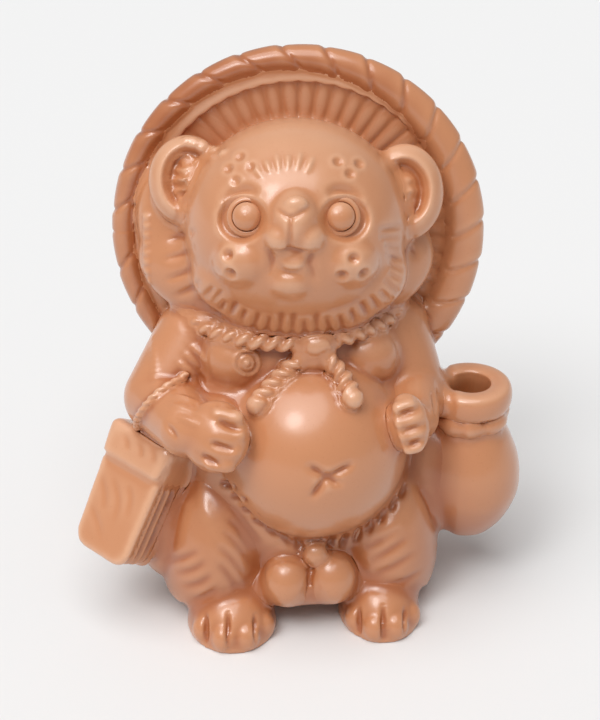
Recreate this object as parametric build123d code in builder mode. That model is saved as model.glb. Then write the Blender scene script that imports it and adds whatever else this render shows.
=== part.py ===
"""Tanuki statue: a small standing figure of cast and glazed clay, put together from luted pieces.

Sizes are in millimetres and angles in degrees. The figure stands on Z = 0 and faces -Y, so its own
right side (the account book) is at -X and its own left side (the sake bottle) is at +X.
"""
import os
from math import atan2, cos, degrees, radians, sin, sqrt, tan

from build123d import *

os.makedirs("parts", exist_ok=True)

# Cast wall and mould
WALL = 3.6  # thickness of the cast clay
SEAM_Y = 3.0  # where the front and the back half of the mould meet
LUTE_GAP = 0.15  # clearance round a piece that is set in a socket

# Trunk: height, half width, half depth and middle of each level, from the seat to the neck
SEAT = (5.0, 20.0, 17.0, 0.0)
HIP = (17.0, 26.5, 22.0, 0.0)
WAIST = (36.0, 28.5, 23.5, 0.0)
RIB = (52.0, 27.0, 20.5, 1.5)
SHOULDER = (63.0, 25.5, 17.0, 3.0)
COLLAR = (73.0, 20.0, 14.0, 4.0)
NECK = (80.0, 13.0, 10.0, 4.0)
BELLY_CENTRE = (2.6, -12.0, 42.0)
BELLY_RADIUS = 21.3
BREAST_X = 13.5
BREAST_Y = -6.5
BREAST_Z = 64.0
BREAST_RADIUS = 7.0

# Base slab with its drain hole, and the passage from the trunk up into the head
SLAB_THICKNESS = 4.0
DRAIN_RADIUS = 5.0
NECK_HOLE_RADIUS = 7.0

# Head: it is turned a little to its own right and looks up
HEAD_CENTRE = (0.5, 0.5, 90.0)
HEAD_TURN = -6.5
HEAD_TILT = 28.0
HEAD_HALF_WIDTH = 24.2
HEAD_HALF_HEIGHT = 22.6
HEAD_HALF_DEPTH = 22.0

# Face pieces, placed across, up and out from the middle of the head
EYE_ACROSS = 10.7
EYE_UP = 0.6
EYE_SEAT = 17.0
EYE_SPLAY = 10.0
EYE_RADIUS = 3.5
EYE_STAND = 3.6  # from the socket floor to the edge of the ring
EYE_ROUNDING = 0.8
PUPIL_RADIUS = 2.35
PUPIL_DEPTH = 2.2
PUPIL_DOME = 1.2
MUZZLE_UP = 1.6
MUZZLE_HALF_WIDTH = 6.9
MUZZLE_HALF_HEIGHT = 7.6
MUZZLE_FRONT = 28.0
NOSE_UP = 5.2
NOSE_HALF_WIDTH = 2.9
NOSE_HALF_HEIGHT = 2.0
NOSE_HALF_DEPTH = 2.4
NOSE_FRONT = 28.0
LIP_DOWN = 8.6
LIP_HALF_WIDTH = 4.8
LIP_HALF_HEIGHT = 2.3
LIP_HALF_DEPTH = 2.8
LIP_FRONT = 22.6

# Ears
EAR_ACROSS = 22.8
EAR_UP = 6.5
EAR_BACK = 1.0
EAR_SPLAY = 14.0
EAR_HALF_WIDTH = 8.6
EAR_HALF_HEIGHT = 10.4
EAR_HALF_DEPTH = 4.6
EAR_RIM = 2.4
EAR_DISH = 3.4

# Sedge hat: a shallow cone behind the head, with a ribbed underside and a rolled rim
HAT_CENTRE = (2.0, 9.5, 83.4)
HAT_TILT = 9.6
HAT_RADIUS = 41.2
HAT_BRIM_THICKNESS = 4.0
HAT_STEP_RADIUS = 32.0
HAT_STEP_DEPTH = 1.6
HAT_FLOOR_RADIUS = 8.0
HAT_DEPTH = 11.0
HAT_CROWN_RADIUS = 7.0
HAT_CROWN_DEPTH = 21.0
HAT_CROWN_RISE = 2.0
RIB_COUNT = 34
RIB_RADIUS = 0.8
RIB_INNER_RADIUS = 21.0
RIB_OUTER_RADIUS = 31.2
RIM_ROLL_RADIUS = 3.5
LASHING_COUNT = 18
LASHING_RADIUS = 0.55
LASHING_SLANT = 34.0
BRIM_START = -28.0  # the free part of the brim, past the shoulders
BRIM_RANGE = 236.0

# Hat cord under the chin, its knot and its two ends
CORD_RADIUS = 1.9
CORD_CHEEK = (11.0, -12.4, 69.2)  # this point and the next two serve both sides
CORD_SIDE = (20.2, -5.0, 68.6)
CORD_END = (27.5, 7.5, 73.0)
CORD_BEND_RADIUS = 12.0
KNOT_CENTRE = (3.2, -15.4, 68.3)
KNOT_HALF_WIDTH = 3.8
KNOT_HALF_HEIGHT = 2.9
KNOT_HALF_DEPTH = 2.9
CORD_END_RADIUS = 1.8
CORD_BEND_THICKNESS = 2.0
CORD_TIP_RADIUS = 2.4
RIGHT_END_BEND = (-4.2, -16.4, 62.1)
RIGHT_END_TIP = (-10.4, -20.8, 57.6)
LEFT_END_BEND = (8.0, -18.7, 62.7)
LEFT_END_TIP = (9.9, -24.2, 59.9)

# Arms, from the shoulder over the elbow and the wrist to the hand
RIGHT_SHOULDER = (-21.5, 2.0, 62.0)
RIGHT_ELBOW = (-30.5, -4.0, 50.0)
RIGHT_WRIST = (-25.0, -20.0, 50.0)
RIGHT_HAND = (-18.0, -26.0, 52.5)
RIGHT_HAND_TURN = -30.0
RIGHT_HAND_RADII = (7.6, 8.4, 6.0)
LEFT_SHOULDER = (21.5, 2.0, 61.0)
LEFT_ELBOW = (25.6, -3.0, 49.5)
LEFT_WRIST = (24.5, -16.5, 49.5)
LEFT_HAND = (22.5, -23.0, 51.5)
LEFT_HAND_TURN = 30.0
LEFT_HAND_RADII = (5.6, 8.4, 5.6)
HAND_TILT = 20.0
SHOULDER_RADIUS = 9.2
ELBOW_RADIUS = 8.4
WRIST_RADIUS = 6.6
PALM_RADIUS = 5.0
FINGER_PITCH = 3.6
FINGER_GROOVE_RADIUS = 0.6
FINGER_ARC = 105.0
FINGER_WRAP = 15.0

# Legs and feet
LEG_X = 19.6
LEG_Y = -10.0
LEG_Z = 15.5
LEG_SPLAY = 6.0
LEG_HALF_WIDTH = 12.2
LEG_HALF_DEPTH = 15.5
LEG_HALF_HEIGHT = 21.0
FOOT_X = 16.6
FOOT_Y = -20.3
FOOT_HALF_WIDTH = 10.1
FOOT_HALF_LENGTH = 12.2
FOOT_HEIGHT = 12.2
TOE_PITCH = 4.6
TOE_GROOVE_RADIUS = 0.7
TOE_ARC = 50.0

# Money bag between the legs
BAG_X = -0.2
BAG_SPREAD = 4.9  # from the middle of the bag to the middle of each lobe
BAG_LOW_Y = -24.0
BAG_LOW_Z = 10.6
BAG_LOW_RADIUS = 5.3
BAG_TOP_Y = -23.0
BAG_TOP_Z = 16.4
BAG_TOP_RADIUS = 4.4
NUB_CENTRE = (2.1, -23.8, 20.0)
NUB_RADIUS = 2.6

# Tail, the third point that the figure stands on
TAIL_Y = 22.5
TAIL_Z = 11.0
TAIL_HALF_WIDTH = 9.0
TAIL_HALF_DEPTH = 10.0
TAIL_HALF_HEIGHT = 17.0

# Account book at the right hip, and the string it hangs by
BOOK_CENTRE = (-37.3, -10.5, 29.4)
BOOK_TURN = -48.0
BOOK_TILT = 30.0
BOOK_LEAN = 3.0
BOOK_WIDTH = 15.2
BOOK_LENGTH = 27.5
PAGES_THICKNESS = 6.6
PAGE_PITCH = 1.7
PAGE_GROOVE = 0.5
COVER_THICKNESS = 1.4
COVER_OVERHANG = 1.0
COVER_CORNER_RADIUS = 1.5
BAND_LENGTH = 8.5
BAND_THICKNESS = 1.3
STRING_HAND = (-24.4, -9.4, 59.8)
STRING_WRIST = (-30.9, -14.2, 57.0)
STRING_ELBOW = (-36.6, -13.0, 51.0)
STRING_BOOK = (-36.4, -7.6, 44.4)
STRING_BEND_RADIUS = 6.0
STRING_RADIUS = 1.5

# Sake bottle at the left hip
BOTTLE_X = 39.2
BOTTLE_Y = -5.5
BOTTLE_FOOT_Z = 13.5
BOTTLE_FOOT_RADIUS = 6.5
BOTTLE_BODY_Z = 27.0
BOTTLE_BODY_RADIUS = 12.2
BOTTLE_NECK_Z = 42.0
BOTTLE_NECK_RADIUS = 7.0
COLLAR_LOW_Z = 45.5
COLLAR_RADIUS = 9.4
COLLAR_ROUNDING = 1.4
BOTTLE_TOP_Z = 51.5
MOUTH_RADIUS = 4.5
BOTTLE_WALL = 2.6
BOTTLE_CORD_RADIUS = 1.5

SIDES = (("right", -1), ("left", 1))


def facing(origin, turn, tilt):
    """Plane whose x runs to the viewer's right, y up and z out of the front, turned and tilted up."""
    right = (cos(radians(turn)), sin(radians(turn)), 0)
    level = cos(radians(tilt))
    ahead = (sin(radians(turn)) * level, -cos(radians(turn)) * level, sin(radians(tilt)))
    return Plane(origin=origin, x_dir=right, z_dir=ahead)


def lump(radii, mode=Mode.ADD):
    """A ball of clay with three half sizes, at the current location."""
    add(scale(Solid.make_sphere(1), by=radii, mode=Mode.PRIVATE), mode=mode)


def groove(half_width, half_height, radius, start=0, arc=360):
    """A round groove cut along an oval, or an arc of it, in the x and y of the current location."""
    ring = Solid.make_torus(half_height, radius, major_angle=arc).rotate(Axis.Z, start)
    oval = scale(ring, by=(half_width / half_height, 1, 1), about=(0, 0, 0), mode=Mode.PRIVATE)
    add(oval, mode=Mode.SUBTRACT)


def roll(points, thicknesses):
    """A roll of clay through the points, with a ball at each point and a taper between them."""
    for point, radius in zip(points, thicknesses):
        with Locations(point):
            Sphere(radius)
    for start, end, low, high in zip(points, points[1:], thicknesses, thicknesses[1:]):
        run = Vector(*end) - Vector(*start)
        with Locations(Plane(origin=start, z_dir=run)):
            Cone(low, high, run.length, align=(Align.CENTER, Align.CENTER, Align.MIN))


def trim(piece, *forms):
    """Takes the space of larger forms out of the piece in hand and keeps its main body."""
    for form in forms:
        add(form.part, mode=Mode.SUBTRACT)
    add(piece.solids().sort_by(SortBy.VOLUME)[-1], mode=Mode.REPLACE)


head_plane = facing(HEAD_CENTRE, HEAD_TURN, HEAD_TILT)
hat_plane = facing(HAT_CENTRE, HEAD_TURN, HAT_TILT)
book_plane = Plane(facing(BOOK_CENTRE, BOOK_TURN, BOOK_TILT).location * Rot(0, 0, -BOOK_LEAN))
seam_plane = Plane(origin=(0, SEAM_Y, 0), z_dir=(0, 1, 0))

# Full forms of the trunk, head, arms, legs and feet, which the pieces are made from and cut against
trunk_forms = []
for inset in (0, WALL):
    with BuildPart() as trunk_form:
        for height, half_width, half_depth, middle in (SEAT, HIP, WAIST, RIB, SHOULDER, COLLAR, NECK):
            with BuildSketch(Plane.XY.offset(height)):
                with Locations((0, middle)):
                    Ellipse(half_width - inset, half_depth - inset)
        loft()
        with Locations(BELLY_CENTRE):
            Sphere(BELLY_RADIUS - inset)
        with Locations((-BREAST_X, BREAST_Y, BREAST_Z), (BREAST_X, BREAST_Y, BREAST_Z)):
            Sphere(BREAST_RADIUS - inset)
    trunk_forms.append(trunk_form)
trunk_form, trunk_hollow = trunk_forms

head_forms = []
for inset in (0, WALL):
    with BuildPart() as head_form:
        with Locations(head_plane):
            lump((HEAD_HALF_WIDTH - inset, HEAD_HALF_HEIGHT - inset, HEAD_HALF_DEPTH - inset))
    head_forms.append(head_form)
head_form, head_hollow = head_forms

arm_forms = {}
hands = {
    "right": (facing(RIGHT_HAND, RIGHT_HAND_TURN, HAND_TILT), RIGHT_HAND_RADII),
    "left": (facing(LEFT_HAND, LEFT_HAND_TURN, HAND_TILT), LEFT_HAND_RADII),
}
arm_routes = {
    "right": (RIGHT_SHOULDER, RIGHT_ELBOW, RIGHT_WRIST, RIGHT_HAND),
    "left": (LEFT_SHOULDER, LEFT_ELBOW, LEFT_WRIST, LEFT_HAND),
}
for name, (hand_plane, hand_radii) in hands.items():
    with BuildPart() as arm_form:
        roll(arm_routes[name], (SHOULDER_RADIUS, ELBOW_RADIUS, WRIST_RADIUS, PALM_RADIUS))
        with Locations(hand_plane):
            lump(hand_radii)
    arm_forms[name] = arm_form

leg_forms = {}
foot_forms = {}
for name, side in SIDES:
    with BuildPart() as leg_form:
        with Locations(Pos(side * LEG_X, LEG_Y, LEG_Z) * Rot(0, -side * LEG_SPLAY, 0)):
            lump((LEG_HALF_WIDTH, LEG_HALF_DEPTH, LEG_HALF_HEIGHT))
        split(bisect_by=Plane.XY.offset(SEAT[0]), keep=Keep.TOP)
    leg_forms[name] = leg_form

    with BuildPart() as foot_form:
        with Locations((side * FOOT_X, FOOT_Y, 0)):
            lump((FOOT_HALF_WIDTH, FOOT_HALF_LENGTH, FOOT_HEIGHT))
        split(bisect_by=Plane.XY, keep=Keep.TOP)
    foot_forms[name] = foot_form

# Trunk shell in two halves, with the slab that closes it below
with BuildPart() as trunk_shell:
    add(trunk_form.part)
    add(trunk_hollow.part, mode=Mode.SUBTRACT)
    add(head_form.part, mode=Mode.SUBTRACT)

with BuildPart() as body_front:
    add(trunk_shell.part)
    split(bisect_by=seam_plane, keep=Keep.BOTTOM)
body_front.part.label = "body_front"
export_step(body_front.part, "parts/body_front.step")

with BuildPart() as body_back:
    add(trunk_shell.part)
    split(bisect_by=seam_plane, keep=Keep.TOP)
body_back.part.label = "body_back"
export_step(body_back.part, "parts/body_back.step")

with BuildPart() as base_slab:
    add(trunk_hollow.part)
    split(bisect_by=Plane.XY.offset(SEAT[0] + SLAB_THICKNESS), keep=Keep.BOTTOM)
    with Locations((0, 0, SEAT[0] + SLAB_THICKNESS)):
        Hole(DRAIN_RADIUS, depth=2 * SLAB_THICKNESS)
base_slab.part.label = "base_slab"
export_step(base_slab.part, "parts/base_slab.step")

# Head shell in two halves, with eye sockets, open to the trunk through the neck
eye_planes = {}
for name, side in SIDES:
    eye_planes[name] = head_plane * Pos(side * EYE_ACROSS, EYE_UP, EYE_SEAT) * Rot(0, side * EYE_SPLAY, 0)
on_floor = (Align.CENTER, Align.CENTER, Align.MIN)

with BuildPart() as head_shell:
    add(head_form.part)
    add(head_hollow.part, mode=Mode.SUBTRACT)
    with Locations((0, NECK[3], NECK[0] - HEAD_HALF_HEIGHT)):
        Cylinder(NECK_HOLE_RADIUS, HEAD_HALF_HEIGHT, align=on_floor, mode=Mode.SUBTRACT)
    with Locations(*eye_planes.values()):
        Cylinder(EYE_RADIUS, HEAD_HALF_DEPTH, align=on_floor, mode=Mode.SUBTRACT)

with BuildPart() as face:
    add(head_shell.part)
    split(bisect_by=seam_plane, keep=Keep.BOTTOM)
face.part.label = "face"
export_step(face.part, "parts/face.step")

with BuildPart() as head_back:
    add(head_shell.part)
    split(bisect_by=seam_plane, keep=Keep.TOP)
head_back.part.label = "head_back"
export_step(head_back.part, "parts/head_back.step")

# Eyes: a round ring piece in its socket, and a domed pupil peg in the ring
for name, eye_plane in eye_planes.items():
    pupil_plane = eye_plane * Pos(0, 0, EYE_STAND - PUPIL_DEPTH)
    with BuildPart() as eye:
        with Locations(eye_plane):
            Cylinder(EYE_RADIUS, EYE_STAND, align=on_floor)
        rims = eye.edges().filter_by(GeomType.CIRCLE)
        fillet(rims.sort_by(Axis(eye_plane.position, eye_plane.z_axis.direction))[-1], EYE_ROUNDING)
        with Locations(pupil_plane):
            Cylinder(PUPIL_RADIUS + LUTE_GAP, EYE_STAND, align=on_floor, mode=Mode.SUBTRACT)
    eye.part.label = f"{name}_eye"
    export_step(eye.part, f"parts/{name}_eye.step")

    with BuildPart() as pupil:
        with Locations(pupil_plane):
            Cylinder(PUPIL_RADIUS, PUPIL_DEPTH, align=on_floor)
        with Locations(pupil_plane * Pos(0, 0, PUPIL_DEPTH)):
            lump((PUPIL_RADIUS, PUPIL_RADIUS, PUPIL_DOME))
    pupil.part.label = f"{name}_pupil"
    export_step(pupil.part, f"parts/{name}_pupil.step")

# Muzzle, nose pad and lower lip, luted on the face
with BuildPart() as muzzle:
    with Locations(head_plane * Pos(0, MUZZLE_UP, MUZZLE_FRONT / 2)):
        lump((MUZZLE_HALF_WIDTH, MUZZLE_HALF_HEIGHT, MUZZLE_FRONT / 2))
    trim(muzzle, head_form)
muzzle.part.label = "muzzle"
export_step(muzzle.part, "parts/muzzle.step")

with BuildPart() as nose:
    with Locations(head_plane * Pos(0, NOSE_UP, NOSE_FRONT - NOSE_HALF_DEPTH)):
        lump((NOSE_HALF_WIDTH, NOSE_HALF_HEIGHT, NOSE_HALF_DEPTH))
    trim(nose, muzzle, head_form)
nose.part.label = "nose"
export_step(nose.part, "parts/nose.step")

with BuildPart() as lower_lip:
    with Locations(head_plane * Pos(0, -LIP_DOWN, LIP_FRONT - LIP_HALF_DEPTH)):
        lump((LIP_HALF_WIDTH, LIP_HALF_HEIGHT, LIP_HALF_DEPTH))
    trim(lower_lip, head_form, muzzle)
lower_lip.part.label = "lower_lip"
export_step(lower_lip.part, "parts/lower_lip.step")

# Arms: rolls of clay with a hand laid on the belly, its fingers parted by grooves
for name, (hand_plane, hand_radii) in hands.items():
    across, tall, deep = hand_radii
    with BuildPart() as arm:
        add(arm_forms[name].part)
        finger_start = {"right": -FINGER_WRAP, "left": 180 + FINGER_WRAP - FINGER_ARC}[name]
        for step in (-1, 0, 1):
            reach = sqrt(1 - (step * FINGER_PITCH / tall) ** 2)
            with Locations(hand_plane * Pos(0, step * FINGER_PITCH, 0) * Rot(90, 0, 0)):
                groove(across * reach, deep * reach, FINGER_GROOVE_RADIUS, finger_start, FINGER_ARC)
        trim(arm, trunk_form, head_form)
    arm.part.label = f"{name}_arm"
    export_step(arm.part, f"parts/{name}_arm.step")

# Feet with parted toes, and the legs above them
for name, side in SIDES:
    with BuildPart() as foot:
        add(foot_forms[name].part)
        for step in (-1, 0, 1):
            reach = sqrt(1 - (step * TOE_PITCH / FOOT_HALF_WIDTH) ** 2)
            toe = (side * FOOT_X + step * TOE_PITCH, FOOT_Y, 0)
            with Locations(Plane(origin=toe, x_dir=(0, -1, 0), z_dir=(-1, 0, 0))):
                groove(FOOT_HALF_LENGTH * reach, FOOT_HEIGHT * reach, TOE_GROOVE_RADIUS, -5, TOE_ARC)
        trim(foot, trunk_form)
    foot.part.label = f"{name}_foot"
    export_step(foot.part, f"parts/{name}_foot.step")

    with BuildPart() as leg:
        add(leg_forms[name].part)
        trim(leg, trunk_form, foot_forms[name], arm_forms[name])
    leg.part.label = f"{name}_leg"
    export_step(leg.part, f"parts/{name}_leg.step")

# Tail, flat below where it stands
with BuildPart() as tail:
    with Locations((0, TAIL_Y, TAIL_Z)):
        lump((TAIL_HALF_WIDTH, TAIL_HALF_DEPTH, TAIL_HALF_HEIGHT))
    split(bisect_by=Plane.XY, keep=Keep.TOP)
    trim(tail, trunk_form)
tail.part.label = "tail"
export_step(tail.part, "parts/tail.step")

# Money bag with two lobes, and the small nub above it
with BuildPart() as money_bag:
    for name, side in SIDES:
        lobe_x = BAG_X + side * BAG_SPREAD
        lobe_route = ((lobe_x, BAG_LOW_Y, BAG_LOW_Z), (lobe_x, BAG_TOP_Y, BAG_TOP_Z))
        roll(lobe_route, (BAG_LOW_RADIUS, BAG_TOP_RADIUS))
    trim(money_bag, trunk_form, *leg_forms.values(), *foot_forms.values())
money_bag.part.label = "money_bag"
export_step(money_bag.part, "parts/money_bag.step")

with BuildPart() as bag_nub:
    with Locations(NUB_CENTRE):
        Sphere(NUB_RADIUS)
    trim(bag_nub, trunk_form, money_bag)
bag_nub.part.label = "bag_nub"
export_step(bag_nub.part, "parts/bag_nub.step")

# Sedge hat: a ribbed cone with a low crown, and a rolled rim lashed with slanting turns
hat_section = Plane(origin=hat_plane.origin, x_dir=hat_plane.x_dir, z_dir=-hat_plane.y_dir)
hat_axis = Axis(hat_plane.origin, hat_plane.z_dir)
rim_radius = HAT_RADIUS - RIM_ROLL_RADIUS
rim_level = -HAT_BRIM_THICKNESS / 2
under_slope = degrees(atan2(HAT_DEPTH - HAT_STEP_DEPTH, HAT_STEP_RADIUS - HAT_FLOOR_RADIUS))
rib_middle = (RIB_INNER_RADIUS + RIB_OUTER_RADIUS) / 2
rib_level = -HAT_STEP_DEPTH - (HAT_STEP_RADIUS - rib_middle) * tan(radians(under_slope))
rib_length = (RIB_OUTER_RADIUS - RIB_INNER_RADIUS) / cos(radians(under_slope))

with BuildPart() as rim_form:
    with BuildSketch(hat_section):
        with Locations((rim_radius, rim_level)):
            Circle(RIM_ROLL_RADIUS)
    revolve(axis=hat_axis)

with BuildPart() as hat_form:
    with BuildSketch(hat_section):
        with BuildLine():
            under = Polyline(
                (0, -HAT_DEPTH),
                (HAT_FLOOR_RADIUS, -HAT_DEPTH),
                (HAT_STEP_RADIUS, -HAT_STEP_DEPTH),
                (HAT_STEP_RADIUS, 0),
                (rim_radius, 0),
                (rim_radius, -HAT_BRIM_THICKNESS),
                (HAT_CROWN_RADIUS, HAT_CROWN_RISE - HAT_CROWN_DEPTH),
            )
            crown = Spline(under @ 1, (0, -HAT_CROWN_DEPTH), tangents=(under % 1, (-1, 0)))
            Line(crown @ 1, under @ 0)
        make_face()
    revolve(axis=hat_axis)

with BuildPart() as hat_shell:
    add(hat_form.part)
    trim(hat_shell, rim_form, head_form, trunk_form, arm_forms["right"], arm_forms["left"])
    with Locations(hat_plane):
        with PolarLocations(0, RIB_COUNT, BRIM_START, BRIM_RANGE):
            with Locations(Pos(rib_middle, 0, rib_level) * Rot(0, 90 - under_slope, 0)):
                Cylinder(RIB_RADIUS, rib_length)
    trim(hat_shell, head_form)
hat_shell.part.label = "hat_shell"
export_step(hat_shell.part, "parts/hat_shell.step")

with BuildPart() as hat_rim:
    add(rim_form.part)
    with Locations(hat_plane):
        with PolarLocations(rim_radius, LASHING_COUNT, BRIM_START, BRIM_RANGE):
            with Locations(Pos(0, 0, rim_level) * Rot(0, 0, LASHING_SLANT) * Rot(90, 0, 0)):
                groove(RIM_ROLL_RADIUS / cos(radians(LASHING_SLANT)), RIM_ROLL_RADIUS, LASHING_RADIUS)
    trim(hat_rim, head_form, trunk_form, arm_forms["right"], arm_forms["left"])
hat_rim.part.label = "hat_rim"
export_step(hat_rim.part, "parts/hat_rim.step")

# Ears: thick discs with a dished front, set between the head and the hat
for name, side in SIDES:
    ear_plane = head_plane * Pos(side * EAR_ACROSS, EAR_UP, -EAR_BACK) * Rot(0, side * EAR_SPLAY, 0)
    with BuildPart() as ear:
        with Locations(ear_plane):
            lump((EAR_HALF_WIDTH, EAR_HALF_HEIGHT, EAR_HALF_DEPTH))
        with Locations(ear_plane * Pos(0, 0, EAR_HALF_DEPTH)):
            lump((EAR_HALF_WIDTH - EAR_RIM, EAR_HALF_HEIGHT - EAR_RIM, EAR_DISH), mode=Mode.SUBTRACT)
        trim(ear, head_form, hat_form, rim_form)
    ear.part.label = f"{name}_ear"
    export_step(ear.part, f"parts/{name}_ear.step")

# Knot under the chin, the hat cord that runs from it to each side, and its two hanging ends
with BuildPart() as cord_knot:
    with Locations(facing(KNOT_CENTRE, HEAD_TURN, HEAD_TILT)):
        lump((KNOT_HALF_WIDTH, KNOT_HALF_HEIGHT, KNOT_HALF_DEPTH))
    trim(cord_knot, trunk_form, head_form)
cord_knot.part.label = "cord_knot"
export_step(cord_knot.part, "parts/cord_knot.step")

hat_cords = []
for name, side in SIDES:
    with BuildPart() as hat_cord:
        with BuildLine():
            cord_route = [(side * x, y, z) for x, y, z in (CORD_CHEEK, CORD_SIDE, CORD_END)]
            cord_path = FilletPolyline(KNOT_CENTRE, *cord_route, radius=CORD_BEND_RADIUS)
        with BuildSketch(Plane(origin=cord_path @ 0, z_dir=cord_path % 0)):
            Circle(CORD_RADIUS)
        sweep(path=cord_path)
        trim(hat_cord, head_form, trunk_form, arm_forms[name], rim_form, hat_shell, cord_knot)
    hat_cords.append(hat_cord)
    hat_cord.part.label = f"{name}_hat_cord"
    export_step(hat_cord.part, f"parts/{name}_hat_cord.step")

for name, bend, tip in (("right", RIGHT_END_BEND, RIGHT_END_TIP), ("left", LEFT_END_BEND, LEFT_END_TIP)):
    with BuildPart() as cord_end:
        roll((KNOT_CENTRE, bend, tip), (CORD_END_RADIUS, CORD_BEND_THICKNESS, CORD_TIP_RADIUS))
        trim(cord_end, trunk_form, head_form, cord_knot, *hat_cords)
    cord_end.part.label = f"{name}_cord_end"
    export_step(cord_end.part, f"parts/{name}_cord_end.step")

# Account book: pages between two covers, bound at the top by a folded band
book_backing = (trunk_form, leg_forms["right"], arm_forms["right"])
book_thickness = PAGES_THICKNESS + 2 * COVER_THICKNESS
cover_level = (PAGES_THICKNESS + COVER_THICKNESS) / 2

with BuildPart() as book_band:
    with Locations(book_plane * Pos(0, (BOOK_LENGTH - BAND_LENGTH) / 2 + BAND_THICKNESS, 0)):
        Box(BOOK_WIDTH + COVER_OVERHANG, BAND_LENGTH, book_thickness + 2 * BAND_THICKNESS)
    fillet(book_band.edges().filter_by(Axis(book_plane.origin, book_plane.x_dir)), BAND_THICKNESS)
    with Locations(book_plane):
        Box(2 * BOOK_WIDTH, BOOK_LENGTH, book_thickness, mode=Mode.SUBTRACT)
    trim(book_band, *book_backing)
book_band.part.label = "book_band"
export_step(book_band.part, "parts/book_band.step")

with BuildPart() as book_pages:
    with Locations(book_plane):
        Box(BOOK_WIDTH, BOOK_LENGTH, PAGES_THICKNESS)
    with Locations(book_plane * Pos(BOOK_WIDTH / 2, 0, 0)):
        with Locations((0, 0, -PAGE_PITCH), (0, 0, 0), (0, 0, PAGE_PITCH)):
            Box(2 * PAGE_GROOVE, BOOK_LENGTH, PAGE_GROOVE, mode=Mode.SUBTRACT)
    trim(book_pages, *book_backing)
book_pages.part.label = "book_pages"
export_step(book_pages.part, "parts/book_pages.step")

for name, level in (("front", cover_level), ("back", -cover_level)):
    with BuildPart() as book_cover:
        with BuildSketch(book_plane.offset(level - COVER_THICKNESS / 2)):
            with Locations((0, -COVER_OVERHANG / 2)):
                cover_size = (BOOK_WIDTH + COVER_OVERHANG, BOOK_LENGTH + COVER_OVERHANG)
                RectangleRounded(*cover_size, COVER_CORNER_RADIUS)
        extrude(amount=COVER_THICKNESS)
        trim(book_cover, *book_backing, book_band)
    book_cover.part.label = f"{name}_book_cover"
    export_step(book_cover.part, f"parts/{name}_book_cover.step")

with BuildPart() as book_string:
    with BuildLine():
        string_path = FilletPolyline(
            STRING_HAND, STRING_WRIST, STRING_ELBOW, STRING_BOOK, radius=STRING_BEND_RADIUS
        )
    with BuildSketch(Plane(origin=string_path @ 0, z_dir=string_path % 0)):
        Circle(STRING_RADIUS)
    sweep(path=string_path)
    trim(book_string, *book_backing, book_band)
book_string.part.label = "book_string"
export_step(book_string.part, "parts/book_string.step")

# Sake bottle with an open mouth, and the cord round its neck
bottle_section = facing((BOTTLE_X, BOTTLE_Y, 0), 0, 0)
bottle_axis = Axis((BOTTLE_X, BOTTLE_Y, 0), (0, 0, 1))
bottle_backing = (trunk_form, leg_forms["left"], arm_forms["left"])

with BuildPart() as sake_bottle:
    with BuildSketch(bottle_section) as bottle_profile:
        with BuildLine():
            foot_edge = (BOTTLE_FOOT_RADIUS, BOTTLE_FOOT_Z)
            floor_edge = (BOTTLE_FOOT_RADIUS - BOTTLE_WALL, BOTTLE_FOOT_Z + BOTTLE_WALL)
            Line((0, BOTTLE_FOOT_Z), foot_edge)
            outside = ThreePointArc(
                foot_edge,
                (BOTTLE_BODY_RADIUS, BOTTLE_BODY_Z),
                (BOTTLE_NECK_RADIUS, BOTTLE_NECK_Z),
            )
            Polyline(
                outside @ 1,
                (BOTTLE_NECK_RADIUS, COLLAR_LOW_Z),
                (COLLAR_RADIUS, COLLAR_LOW_Z),
                (COLLAR_RADIUS, BOTTLE_TOP_Z),
                (MOUTH_RADIUS, BOTTLE_TOP_Z),
                (MOUTH_RADIUS, BOTTLE_NECK_Z),
            )
            ThreePointArc(
                (MOUTH_RADIUS, BOTTLE_NECK_Z),
                (BOTTLE_BODY_RADIUS - BOTTLE_WALL, BOTTLE_BODY_Z),
                floor_edge,
            )
            Polyline(floor_edge, (0, BOTTLE_FOOT_Z + BOTTLE_WALL), (0, BOTTLE_FOOT_Z))
        make_face()
        fillet(bottle_profile.vertices().sort_by(Axis.X)[-2:], COLLAR_ROUNDING)
    revolve(axis=bottle_axis)
    trim(sake_bottle, *bottle_backing)
sake_bottle.part.label = "sake_bottle"
export_step(sake_bottle.part, "parts/sake_bottle.step")

with BuildPart() as bottle_cord:
    with Locations((BOTTLE_X, BOTTLE_Y, (BOTTLE_NECK_Z + COLLAR_LOW_Z) / 2)):
        Torus(BOTTLE_NECK_RADIUS + BOTTLE_CORD_RADIUS / 2, BOTTLE_CORD_RADIUS)
    trim(bottle_cord, sake_bottle, *bottle_backing)
bottle_cord.part.label = "bottle_cord"
export_step(bottle_cord.part, "parts/bottle_cord.step")
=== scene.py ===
# %% [markdown]
# A tanuki figure in cast and glazed clay. The real one is a set of castings and hand-rolled pieces that
# are joined wet with slip and fired together, so every join is soft and the glaze gathers in each hollow.
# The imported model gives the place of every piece. This lesson makes the clay skins that stand on it.

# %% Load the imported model
from math import cos, pi, radians, sin, tan

import bmesh
import bpy
import numpy as np
from mathutils import Matrix, Vector
from mathutils.bvhtree import BVHTree


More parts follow.
